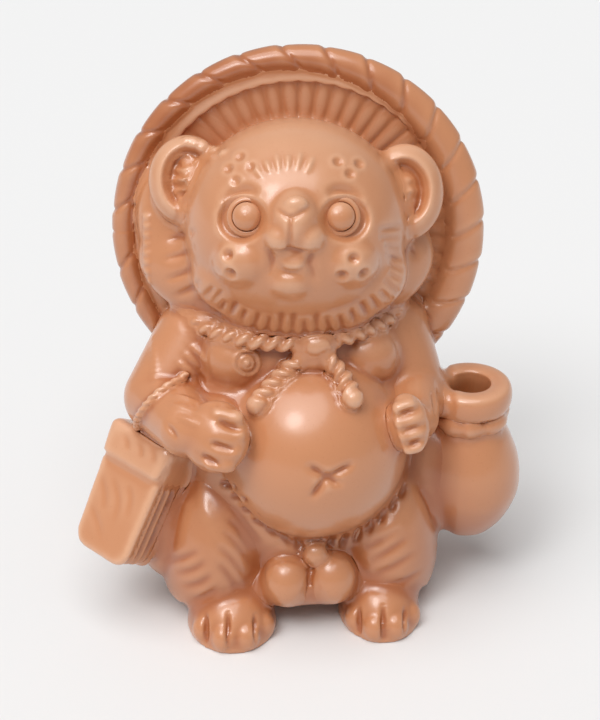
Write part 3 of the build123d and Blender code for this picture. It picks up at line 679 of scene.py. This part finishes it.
STRING = ((-24.4, -9.4, 59.8), (-30.6, -13.8, 56.6), (-35.6, -12.6, 51.2), (-36.6, -8, 44.6))
route = []
for spot in smooth_line(STRING, 12):
    hit, away, _, _ = arms["right"].tree.find_nearest(spot)
    route.append(hit + 0.25 * away)
twisted(clay, route, [1.0] * len(route), lay=4.5, steps=80)
book_string = Skin("book_string", clay, voxel=0.28, rounds=2)
print("book", sum(len(s.points) for s in (front_cover, back_cover, pages, band, book_string)), "points")

# %% [markdown]
# The sake bottle is turned too: foot, round body, neck, thick lip and the hollow inside. A cloth cord with a
# fold in it sits under the lip.

# %% Sake bottle
BOTTLE_PLACE = at(39.2, -5.5, 0)
BOTTLE_SECTION = (
    (0, 13.5), (5.6, 13.5), (7.2, 14.4), (9.8, 18), (11.8, 23), (12.2, 27), (11.6, 32), (9.6, 37.5),
    (7.3, 42), (7.0, 44.6), (7.6, 45.6), (8.9, 45.9), (9.4, 47.3), (9.4, 49.4), (8.8, 50.9), (7.6, 51.5),
    (6.0, 51.5), (4.8, 51.1), (4.5, 50.2), (4.5, 46), (4.5, 42), (6.6, 37), (8.6, 31), (9.0, 27), (8.2, 21),
    (4, 16.4), (0, 16.1),
)
CORD_RADIUS, CORD_THICK, CORD_HEIGHT = 7.2, 2.0, 43.4
bottle = turned("sake_bottle", BOTTLE_SECTION, 130, 180, BOTTLE_PLACE)
clay = bmesh.new()
verts, edges = ring(clay, 24, CORD_THICK, at(CORD_RADIUS, 0, CORD_HEIGHT) @ spun("X", 90))
bottle_cord = spun_round("bottle_cord", clay, verts + edges, 200, BOTTLE_PLACE)
x, y, _ = local(bottle_cord, BOTTLE_PLACE).T
angle = np.arctan2(y, x)
wave = np.sin(5 * angle) + 0.6 * np.sin(8 * angle + 1)
fold = np.exp(-(((angle + 1.75) / 0.16) ** 2)) - 0.6 * np.exp(-(((angle + 1.35) / 0.12) ** 2))
bottle_cord.swell(0.24 * wave + 0.6 * fold)
bottle_cord.settle()
print("bottle", len(bottle.points), "cord", len(bottle_cord.points), "points")

# %% [markdown]
# The eyes are turned: a ring sits in the socket and a domed pupil in the ring, with a fine gap between them.

# %% Eyes
EYE_SECTION = (
    (0, 0), (4.0, 0), (4.3, 0.6), (4.2, 1.2), (3.8, 1.6), (3.4, 1.7), (3.15, 1.6), (3.1, 1.3), (3.1, 0.5),
    (0, 0.5),
)
PUPIL_SECTION = (
    (0, 0.6), (2.7, 0.6), (2.95, 1.0), (2.95, 1.9), (2.75, 2.5), (2.2, 3.1), (1.2, 3.6), (0, 3.8),
)
EYE_UP, EYE_AHEAD, EYE_TURN = 0.6, 17, 8
eyes, pupils = {}, {}
for name, side in SIDES:
    place = HEAD_PLACE @ at(EYE_SPOTS[name], EYE_UP, EYE_AHEAD) @ spun("Y", side * EYE_TURN)
    eyes[name] = turned(f"{name}_eye", EYE_SECTION, 60, 64, place, merge=0.005)
    pupils[name] = turned(f"{name}_pupil", PUPIL_SECTION, 60, 64, place, merge=0.005)
print("eyes and pupils are turned")

# %% [markdown]
# The pieces are luted: slip is wiped along every join with a wet brush, until one piece runs into the next.
# To find that surface, all pieces but the eyes are welded once into a trial figure, which is relaxed only
# near its joins. Each number says how soft a join with that piece may become, in millimetres.

# %% Weld a trial figure
SOFT = [
    (trunk, 5.0), (head, 3.0), (tail, 5.0), (money_bag, 3.4), (bag_nub, 1.2), (hat_shell, 2.0),
    (hat_rim, 0.6), (knot, 0.9), (front_cover, 0.9), (back_cover, 2.0), (pages, 1.6), (band, 1.6),
    (book_string, 0.6), (bottle, 4.5), (bottle_cord, 1.0),
]
for name in arms:
    SOFT += [(arms[name], 4.0), (legs[name], 4.5), (feet[name], 3.0), (ears[name], 2.2)]
    SOFT += [(cords[name], 1.2), (cord_ends[name], 1.1)]
clay = bmesh.new()
for skin, _ in SOFT:
    clay.from_mesh(skin.object.data)
figure = Skin("figure", clay, voxel=0.45)
FAR, LUTING_ROUNDS, LUTING_SPREAD = 99.0, 110, 1.6


def nearest(spots, tree, reach):
    """For each spot the nearest place on a skin, with its normal, face and gap, which is below 0 inside."""
    place, away = spots.copy(), np.zeros_like(spots)
    face, gap = np.zeros(len(spots), int), np.full(len(spots), FAR)
    for k, spot in enumerate(spots):
        hit, normal, index, far = tree.find_nearest(spot, reach)
        if hit is not None:
            place[k], away[k], face[k] = hit, normal, index
            gap[k] = far if (Vector(spot) - hit).dot(normal) > 0 else -far
    return place, away, face, gap


apart = np.full((len(SOFT), len(figure.points)), FAR)
for row, (skin, soft) in zip(apart, SOFT):
    low, high = skin.points.min(0) - soft, skin.points.max(0) + soft
    chosen = np.flatnonzero(((figure.points > low) & (figure.points < high)).all(1))
    row[chosen] = np.abs(nearest(figure.points[chosen], skin.tree, soft)[3])
first, second = np.argsort(apart, axis=0)[:2]
reach = np.array([soft for _, soft in SOFT])
reach = np.minimum(reach[first], reach[second])
close = np.clip(1 - np.take_along_axis(apart, second[None], 0)[0] / reach, 0, 1)
rough_tree = figure.tree
figure.relax(LUTING_ROUNDS, (0.5 * np.minimum(close * LUTING_SPREAD, 1))[:, None])
figure.settle()
print("trial figure", len(figure.points), "points,", int((close > 0).sum()), "of them near a join")

# %% [markdown]
# Each piece then takes the trial figure's surface near its joins. Where it runs on under a neighbour it sinks
# a little, so the neighbour covers it and no crack shows between the two. The trial figure also tells where a
# join is hollow, for the glaze that gathers there, and is then thrown away.

# %% Lute the pieces
DEEP, HIDDEN_FROM, HIDDEN_SOFT, SINK = 9, 0.35, 0.8, 0.4


def hollows(skin):
    """How far the surface lies below the mean of its surroundings, in millimetres."""
    depth, smooth = np.zeros(len(skin.points)), skin.points
    for rounds in (4, 10):
        for _ in range(rounds):
            smooth = skin.mean(smooth)
        depth += ((smooth - skin.points) * skin.normals).sum(1)
    return skin.mean(skin.mean(depth))


corner = np.array([face[0] for face in figure.faces])
slip = hollows(figure)
for skin, _ in SOFT:
    depth = nearest(skin.points, rough_tree, 3.0)[3]
    hidden = np.clip(np.where(depth == FAR, DEEP, -depth) - HIDDEN_FROM, 0, None)
    place, away, face, gap = nearest(skin.points, figure.tree, 5.0)
    skin.close = np.where(gap == FAR, 0, close[corner[face]])
    skin.slip = np.where(gap == FAR, 0, slip[corner[face]])
    share = np.clip(skin.close * 3, 0, 1) * np.clip(2 - hidden / HIDDEN_SOFT, 0, 1)
    skin.points += share[:, None] * (place - away * (SINK * hidden)[:, None] - skin.points)
    skin.relax(1, 0.3)
    skin.settle()
    skin.plain = hollows(skin)
bpy.data.objects.remove(figure.object)
print("luted", len(SOFT), "pieces")

# %% [markdown]
# Marks are pressed into the luted figure with a pointed stick: the lines of nose and mouth, pits for the
# whisker roots, a tuft on the forehead, fur along the jaw. Each mark is a row of pixels, u and v in turn,
# that lines of sight carry to the clay, so it lies where the photograph shows it and follows the surface.

# %% Marks on the face
NOSE_LINE = (278, 210.5, 284, 215, 290.6, 217.5, 299, 214.5, 308, 208.5)
CLEFT = (290.6, 217, 290.2, 232, 290, 247)
MOUTH = (272, 251, 281, 252, 290, 250, 300, 251.5, 311, 252)
LIP = (276, 262, 282, 270, 292, 273, 302, 270, 308, 261)
FOLDS = ((265, 246, 270, 256, 271, 266, 268, 277), (316, 249, 311, 259, 312, 270, 317, 283))
head.groove(NOSE_LINE, 0.6, 0.6, taper=0.4)
head.groove(CLEFT, 0.5, 0.6)
head.groove(MOUTH, 0.7, 0.7, taper=0.6)
head.groove(LIP, 0.9, 0.5, taper=0.5)
head.comb(FOLDS, 1.0, 0.85)
BROWS = ((221, 206, 231, 194, 246, 190, 259, 196), (326, 197, 338, 190, 353, 193, 364, 204))
head.comb(BROWS, 1.3, 1.2)
SHALLOW_PITS = (
    (239.6, 157), (228, 169), (251, 167), (235, 181), (338, 162), (359, 164), (350, 174), (215, 272),
)
DEEP_PITS = ((227, 255), (230, 274), (354, 259), (342, 276), (364, 274))
LIP_PIXELS = 7
for pits, width, depth in ((SHALLOW_PITS, 0.95, 0.5), (DEEP_PITS, 1.15, 1.05)):
    for u, v in pits:
        lip = [(u + LIP_PIXELS * cos(k), v + LIP_PIXELS * sin(k)) for k in range(7)]
        head.groove((u, v, u + 0.5, v), width, depth, 2, sharp=3.0)
        head.groove(lip, 0.5, -0.07, 28)
print("lines and pits pressed into the face")

# %% Fur on the face
fur = np.random.default_rng(4)
FACE_U, FACE_V = 300, 235
TUFT_SPOT, TUFT_SWINGS = Vector((288, 216)), (-34, -22, -11, 0, 11, 23)
tuft = []
for swing in TUFT_SWINGS:
    out = Vector((sin(radians(swing)), -cos(radians(swing))))
    low, high = fur.uniform(40, 46), fur.uniform(60, 70)
    tuft.append([TUFT_SPOT + out * reach for reach in (low, (low + high) / 2, high)])
head.comb(tuft, 0.6, -0.5)
JAW = (
    (396, 228), (401, 258), (397, 287), (372, 314), (336, 328), (300, 332), (264, 328), (228, 315),
    (205, 297),
)
jaw = []
for u, v in smooth_line(JAW, 24):
    out = Vector((u - FACE_U + fur.uniform(-14, 14), 1.7 * (v - FACE_V))).normalized()
    inner, outer = fur.uniform(11, 20), fur.uniform(2, 7)
    jaw.append([Vector((u, v)) + out * reach for reach in (-inner, (outer - inner) / 2, outer)])
head.comb(jaw, 0.85, 0.75)
# Painted shade: the lower jaw and chin turn a deeper orange brown, where shade falls under the face.
_, y, z = local(head, HEAD_PLACE).T
head.slip = head.slip + 0.13 * fade(y, -12, -8) * (z < 15)
RUFF = [
    (197, 230, 182, 236, 166, 240), (196, 247, 180, 255, 163, 260), (197, 264, 182, 274, 165, 281),
    (202, 280, 188, 290, 173, 297), (158, 212, 168, 220, 178, 224), (170, 206, 178, 214, 188, 218),
    (404, 196, 412, 203, 419, 212), (405, 214, 413, 224, 420, 234), (404, 238, 412, 248, 418, 258),
]
head.comb(RUFF, 0.8, 0.55)
BEADS = [(142, 216 + 9 * k, 147, 217 + 9 * k, 152, 218 + 9 * k) for k in range(8)]
head.comb(BEADS, 0.9, -0.55)
head.settle()
print("tuft", len(tuft), "strokes, jaw", len(jaw), "strokes")

# %% Marks in the ear
EAR_BARS = [
    (173, 163, 181, 166, 190, 164), (172, 173, 181, 176, 189, 174), (174, 183, 181, 186, 188, 184),
    (177, 192, 182, 194, 187, 192),
]
EAR_CURL = (180, 200, 171, 186, 170, 169, 177, 157, 188, 155, 197, 164)
ears["right"].comb(EAR_BARS, 0.8, 0.55)
ears["right"].groove(EAR_CURL, 0.5, -0.42, taper=0.3)
LOCKS = [(183 + 9 * k, 131 + 3 * k, 185 + 9 * k, 137 + 3 * k, 188 + 9 * k, 144 + 3 * k) for k in range(5)]
for skin in (ears["right"], head):
    skin.comb(LOCKS, 1.1, -0.6)
    skin.settle()
print("ear marked with", len(EAR_BARS), "bars")

# %% Marks on the trunk
NAVEL = (
    (311, 467, 319, 473, 327, 478), (350, 466, 338, 473, 327, 478), (327, 478, 320, 487, 313, 496),
    (327, 478, 333, 482, 339, 484),
)
for stroke in NAVEL:
    trunk.groove(stroke, 0.9, 1.0, 14, taper=0.3)
RING_U, RING_V = 247, 363
RINGS = ((12.5, 0.4, -0.4), (9.5, 0.5, 0.24), (6.6, 0.4, -0.34), (4.6, 0.4, 0.2), (1, 0.75, -0.55))
for reach, width, depth in RINGS:
    circle = [(RING_U + reach * cos(k * 0.7), RING_V + reach * sin(k * 0.7)) for k in range(10)]
    trunk.groove(circle, width, depth, 40)
money_bag.groove((312, 556, 310, 582, 309, 610), 0.7, 0.9)
money_bag.settle()
print("navel, breast and bag marked")

# %% Marks on hands and feet
TOES = {
    "right": ((206, 616, 206, 643), (228, 613, 228, 649), (255, 616, 256, 646)),
    "left": ((359, 609, 359, 638), (383, 606, 383, 643), (405, 609, 405, 638)),
}
FINGERS = {
    "right": ((216, 420, 229, 426, 243, 430), (209, 442, 222, 447, 237, 451), (200, 455, 210, 461, 221, 466)),
    "left": ((397, 416, 410, 412, 424, 408), (401, 432, 414, 429, 427, 425), (405, 447, 415, 444, 425, 440)),
}
for name in arms:
    for line in TOES[name]:
        feet[name].groove(line, 0.55, 0.95, 14, taper=0.5)
    for line in FINGERS[name]:
        arms[name].groove(line, 0.9, 1.1, 14, taper=0.7)
print("toes and fingers marked")

# %% Fur on the body


def scratch(skins, strokes, width, depth):
    """Combs each stroke into the clay that the camera sees there, across joins too."""
    for stroke in strokes:
        spots = []
        for u, v in smooth_line(np.reshape(stroke, (-1, 2)), STROKE_SPOTS):
            hits = [hit for hit in (skin.seen(u, v) for skin in skins) if hit is not None]
            spots += [min(hits, key=lambda hit: (hit - camera_spot).length)] if hits else []
        for skin in skins:
            skin.press(spots, width, depth, taper=STROKE_TAPER)


FRINGE = [
    (219, 482, 227, 485, 237, 488), (230, 495, 238, 498, 248, 501), (241, 508, 249, 512, 259, 515),
    (252, 519, 260, 524, 269, 528), (265, 527, 272, 533, 280, 538), (279, 533, 286, 540, 293, 546),
    (294, 537, 299, 545, 304, 552), (327, 550, 331, 543, 334, 535), (340, 548, 344, 541, 348, 533),
    (353, 543, 357, 536, 361, 527), (366, 535, 370, 527, 374, 518), (378, 525, 382, 517, 386, 508),
    (390, 513, 394, 505, 398, 496), (400, 500, 404, 492, 407, 483),
]
scratch([trunk, *legs.values(), bag_nub, money_bag], FRINGE, 0.85, 1.15)
THIGHS = [
    (230, 505, 247, 527, 262, 545), (225, 518, 238, 530, 252, 552), (222, 530, 235, 543, 252, 565),
    (218, 545, 232, 560, 247, 578), (218, 562, 228, 575, 240, 592), (200, 550, 183, 558, 167, 561),
    (207, 561, 192, 570, 174, 573), (213, 574, 200, 583, 182, 587), (218, 586, 207, 596, 192, 601),
    (363, 550, 380, 541, 399, 527), (368, 562, 388, 552, 409, 537), (373, 575, 393, 567, 417, 552),
    (380, 588, 400, 583, 422, 571), (420, 488, 428, 502, 433, 520),
]
scratch([*legs.values(), trunk], THIGHS, 1.0, 0.46)
SHINS = [(202, 474, 204, 500, 211, 527), (402, 519, 390, 529, 379, 541)]
scratch([*legs.values()], SHINS, 1.7, -0.5)
SLEEVES = [
    (190, 344, 198, 352, 207, 363), (184, 351, 192, 360, 201, 369), (178, 361, 186, 368, 195, 375),
    (171, 395, 184, 398, 198, 402), (169, 404, 186, 409, 203, 417), (176, 416, 188, 420, 200, 426),
]
scratch([*arms.values(), trunk], SLEEVES, 0.8, -0.45)
GATHERS = [
    (184, 371, 188, 377, 191, 384), (198, 373, 201, 379, 204, 386), (433, 391, 435, 412, 436, 433),
    (438, 395, 440, 412, 441, 430), (166, 424, 172, 431, 178, 440),
]
scratch([*arms.values(), trunk], GATHERS, 0.7, 0.5)
SEAMS = [(150, 300, 153, 340, 155, 375, 157, 412), (441, 343, 442, 355, 443, 369)]
scratch([*arms.values(), trunk, hat_rim], SEAMS, 1.0, -0.22)
CREASES = [
    (98, 470, 104, 492, 103, 512), (112, 476, 118, 500, 113, 524), (128, 484, 130, 500, 126, 520),
    (90, 505, 97, 522, 101, 540), (122, 432, 127, 442, 126, 452), (136, 438, 141, 450, 139, 460),
    (150, 446, 154, 456, 152, 466),
]
scratch([front_cover, band], CREASES, 1.1, 0.22)
for skin in (trunk, *arms.values(), *legs.values(), *feet.values(), bag_nub, front_cover, band):
    skin.settle()
print("strokes", sum(len(group) for group in (FRINGE, THIGHS, SHINS, SLEEVES, GATHERS, SEAMS, CREASES)))

# %% [markdown]
# The glaze is thin and half clear over salmon brown clay. It runs off raised edges, where the clay shows
# pale, and gathers in grooves and joins, where it turns a deeper orange brown. Each skin carries that as an
# attribute, from how hollow the trial figure was there, what the marks have added since, and how close the
# next piece lies. The same attribute also carries painted light and shade: faces that turn up are painted
# paler, the clay is painted darker towards the feet, and some pieces take an offset of their own, which is
# painted shade above 0 and painted light below 0.

# %% Glaze pooling, painted light and painted shade
# The first three numbers set painted shade by height and painted light on faces that turn up.
SHADE_AT_FEET, SHADE_LESS_PER_MM, LIGHT_ON_TOP, FACES_UP, NEAR_JOINS = 0.42, 0.0065, 0.5, 0.25, 0.3
RAISED_EDGE, DEEP_GROOVE = 0.55, 0.33


def pool(skin):
    """How much glaze has gathered at each point, from 0 on open clay to 1, and below 0 on raised edges, with
    painted shade and painted light added.
    """
    hollow = skin.mean(skin.slip) + hollows(skin) - skin.plain
    # Painted shade that deepens towards the feet, painted light on faces that turn up, and the piece's own
    # offset.
    shade_and_light_by_height = SHADE_AT_FEET - SHADE_LESS_PER_MM * skin.points[:, 2] + skin.shade_and_light_offset
    shade_and_light_by_height = shade_and_light_by_height - LIGHT_ON_TOP * fade(skin.normals[:, 2], FACES_UP, 1)
    gathered = np.clip(skin.mean(hollow) / np.where(hollow < 0, RAISED_EDGE, DEEP_GROOVE), -1, 1)
    return gathered + NEAR_JOINS * skin.mean(skin.close) ** 2 + shade_and_light_by_height


# Painted shade on the rim: deeper on its top and towards the viewer's left, paler towards the right.
x, _, z = hat_rim.points.T
hat_rim.shade_and_light_offset = 0.45 + 1.05 * fade(z, 88, 30) - 0.012 * x
# Painted shade on the lower part of the bottle.
bottle.shade_and_light_offset = 0.5 * fade(bottle.points[:, 2], 32, -14)
# Painted shade on the legs and feet.
for skin in (*legs.values(), *feet.values()):
    skin.shade_and_light_offset = 0.22
# Painted shade on the right arm.
arms["right"].shade_and_light_offset = 0.3
# Painted light on the hat's ribbed underside, the front book cover and the band.
hat_shell.shade_and_light_offset, front_cover.shade_and_light_offset, band.shade_and_light_offset = -0.35, -0.55, -0.7
print("pooling is measured over 4 and 14 rings of neighbours")

# %% [markdown]
# One node group holds the glaze: the clay colour, its deeper tone where the glaze has gathered and where
# shade is painted, a paler tone on raised edges and where light is painted, fine specks of iron, and a height
# for the faint orange peel of the fired surface. The material keeps the shader.

# %% Glaze group
# The deep tone also serves painted shade, and the pale tone painted light.
CLAY = (0.575, 0.24, 0.108, 1)
CLAY_DEEP = (0.40, 0.118, 0.036, 1)
CLAY_PALE = (0.70, 0.37, 0.215, 1)
SPECK_STRENGTH = 0.14
glaze = bpy.data.node_groups.new("glaze_over_clay", "ShaderNodeTree")
for name in ("Clay", "Deep", "Pale"):
    glaze.interface.new_socket(name, in_out="INPUT", socket_type="NodeSocketColor")
for name, kind in (("Color", "Color"), ("Roughness", "Float"), ("Height", "Float")):
    glaze.interface.new_socket(name, in_out="OUTPUT", socket_type=f"NodeSocket{kind}")


def node(tree, kind, **values):
    """A node with its settings and unlinked sockets set."""
    made = tree.nodes.new(kind)
    for key, value in values.items():
        if key in made.inputs:
            made.inputs[key].default_value = value
        else:
            setattr(made, key, value)
    return made


def ramp(tree, source, low, high):
    """A value that runs from 0 to 1 between two levels of its source."""
    levels = {"From Min": low, "From Max": high}
    made = node(tree, "ShaderNodeMapRange", interpolation_type="SMOOTHSTEP", **levels)
    tree.links.new(source, made.inputs["Value"])
    return made.outputs["Result"]


def feed(tree, *pairs):
    """Links each source to its socket, or sets the socket where the source is a plain value."""
    for source, socket in pairs:
        if isinstance(source, bpy.types.NodeSocket):
            tree.links.new(source, socket)
        else:
            socket.default_value = source


def tint(tree, share, base, top):
    """Mixes two colours by a share."""
    made = node(tree, "ShaderNodeMix", data_type="RGBA")
    feed(tree, (share, made.inputs[0]), (base, made.inputs[6]), (top, made.inputs[7]))
    return made.outputs[2]


def sums(tree, operation, *values):
    """The result of a maths node on sockets and plain values."""
    made = node(tree, "ShaderNodeMath", operation=operation)
    feed(tree, *zip(values, made.inputs))
    return made.outputs[0]


given = glaze.nodes.new("NodeGroupInput")
result = glaze.nodes.new("NodeGroupOutput")
spot = glaze.nodes.new("ShaderNodeTexCoord").outputs["Object"]
glaze_and_light_share = node(glaze, "ShaderNodeAttribute", attribute_name="pool").outputs["Fac"]
cloud = node(glaze, "ShaderNodeTexNoise", Scale=55.0, Detail=3.0, Roughness=0.55)
specks = node(glaze, "ShaderNodeTexNoise", Scale=1500.0, Detail=2.0, Roughness=0.6)
peel = node(glaze, "ShaderNodeTexNoise", Scale=700.0, Detail=2.0, Roughness=0.5)
for texture in (cloud, specks, peel):
    glaze.links.new(spot, texture.inputs["Vector"])
uneven = sums(glaze, "ADD", glaze_and_light_share, sums(glaze, "MULTIPLY_ADD", cloud.outputs["Fac"], 0.5, -0.25))
deep = tint(glaze, ramp(glaze, uneven, 0.0, 1.0), given.outputs["Clay"], given.outputs["Deep"])
pale = tint(glaze, ramp(glaze, uneven, -0.25, -1.05), deep, given.outputs["Pale"])
speck = sums(glaze, "MULTIPLY", ramp(glaze, specks.outputs["Fac"], 0.62, 0.74), SPECK_STRENGTH)
glaze.links.new(tint(glaze, speck, pale, given.outputs["Deep"]), result.inputs["Color"])
gloss = node(glaze, "ShaderNodeMapRange", **{"To Min": 0.30, "To Max": 0.42})
glaze.links.new(cloud.outputs["Fac"], gloss.inputs["Value"])
glaze.links.new(gloss.outputs["Result"], result.inputs["Roughness"])
glaze.links.new(peel.outputs["Fac"], result.inputs["Height"])
print("glaze group", len(glaze.nodes), "nodes")

# %% Glazed terracotta
terracotta = bpy.data.materials.new("terracotta_glaze")
terracotta.use_nodes = True
tree = terracotta.node_tree
shader = tree.nodes["Principled BSDF"]
coat = node(tree, "ShaderNodeGroup", node_tree=glaze, Clay=CLAY, Deep=CLAY_DEEP, Pale=CLAY_PALE)
grain = node(tree, "ShaderNodeBump", Strength=0.25, Distance=0.00006)
tree.links.new(coat.outputs["Color"], shader.inputs["Base Color"])
tree.links.new(coat.outputs["Roughness"], shader.inputs["Roughness"])
tree.links.new(coat.outputs["Height"], grain.inputs["Height"])
tree.links.new(grain.outputs["Normal"], shader.inputs["Normal"])
for socket, value in (("IOR", 1.5), ("Coat Weight", 0.8), ("Coat Roughness", 0.18)):
    shader.inputs[socket].default_value = value
print("material", terracotta.name)

# %% [markdown]
# A finished skin goes from millimetres to metres, is shaded smooth, takes the glaze and rides on the figure's
# one body. The nodes of the imported model that it covers are hidden. Most skins are named like their node.

# %% Finish the pieces
COVERS = {
    "trunk": ("body_front", "body_back", "base_slab"),
    "head": ("face", "head_back", "muzzle", "nose", "lower_lip"),
}
pieces = [skin for skin, _ in SOFT] + [*eyes.values(), *pupils.values()]
for skin in pieces:
    nodes = COVERS.get(skin.name, (skin.name,))
    mesh = skin.object.data
    gathered = mesh.attributes.new("pool", "FLOAT", "POINT")
    gathered.data.foreach_set("value", pool(skin))
    mesh.vertices.foreach_set("co", (skin.points * MM).ravel())
    mesh.polygons.foreach_set("use_smooth", np.ones(len(mesh.polygons), bool))
    mesh.update()
    mesh.materials.clear()
    mesh.materials.append(terracotta)
    skin.object.name = f"{skin.name}_clay"
    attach(skin.object, "root")
    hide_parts(*nodes)
triangles = sum(len(face) - 2 for skin in pieces for face in skin.faces)
print("pieces", len(pieces), "triangles", triangles)

# %% [markdown]
# The setting is a wide pale table in an even pale world. A sun lamp with a wide angle, at the upper left,
# lights all of the table alike. A weaker and smaller lamp beside it puts the glints on the glaze.

# %% Table and light
TABLE_HALF, TABLE_GREY, WORLD_STRENGTH = 6, (0.79, 0.79, 0.79, 1), 0.35
clay = bmesh.new()
bmesh.ops.create_grid(clay, x_segments=1, y_segments=1, size=TABLE_HALF)
table_mesh = bpy.data.meshes.new("table")
clay.to_mesh(table_mesh)
clay.free()
table = placed("table", table_mesh)
paper = bpy.data.materials.new("pale_paper")
paper.use_nodes = True
matt = paper.node_tree.nodes["Principled BSDF"]
matt.inputs["Base Color"].default_value = TABLE_GREY
matt.inputs["Roughness"].default_value = 0.8
table_mesh.materials.append(paper)

LAMPS = (("window", (-0.24, -0.27, 0.93), 2.15, 60), ("lamp", (-0.40, -0.45, 0.80), 0.65, 20))
for name, direction, energy, angle in LAMPS:
    lamp_data = bpy.data.lights.new(name, "SUN")
    lamp_data.energy = energy
    lamp_data.angle = radians(angle)
    lamp = placed(name, lamp_data)
    lamp.location = direction
    lamp.rotation_mode = "QUATERNION"
    lamp.rotation_quaternion = Vector(direction).to_track_quat("Z", "Y")
world = bpy.data.worlds.new("studio")
scene.world = world
world.use_nodes = True
sky = world.node_tree.nodes["Background"]
sky.inputs["Color"].default_value = (1, 1, 1, 1)
sky.inputs["Strength"].default_value = WORLD_STRENGTH
scene.view_settings.view_transform = "Standard"
print("lamps", len(LAMPS))
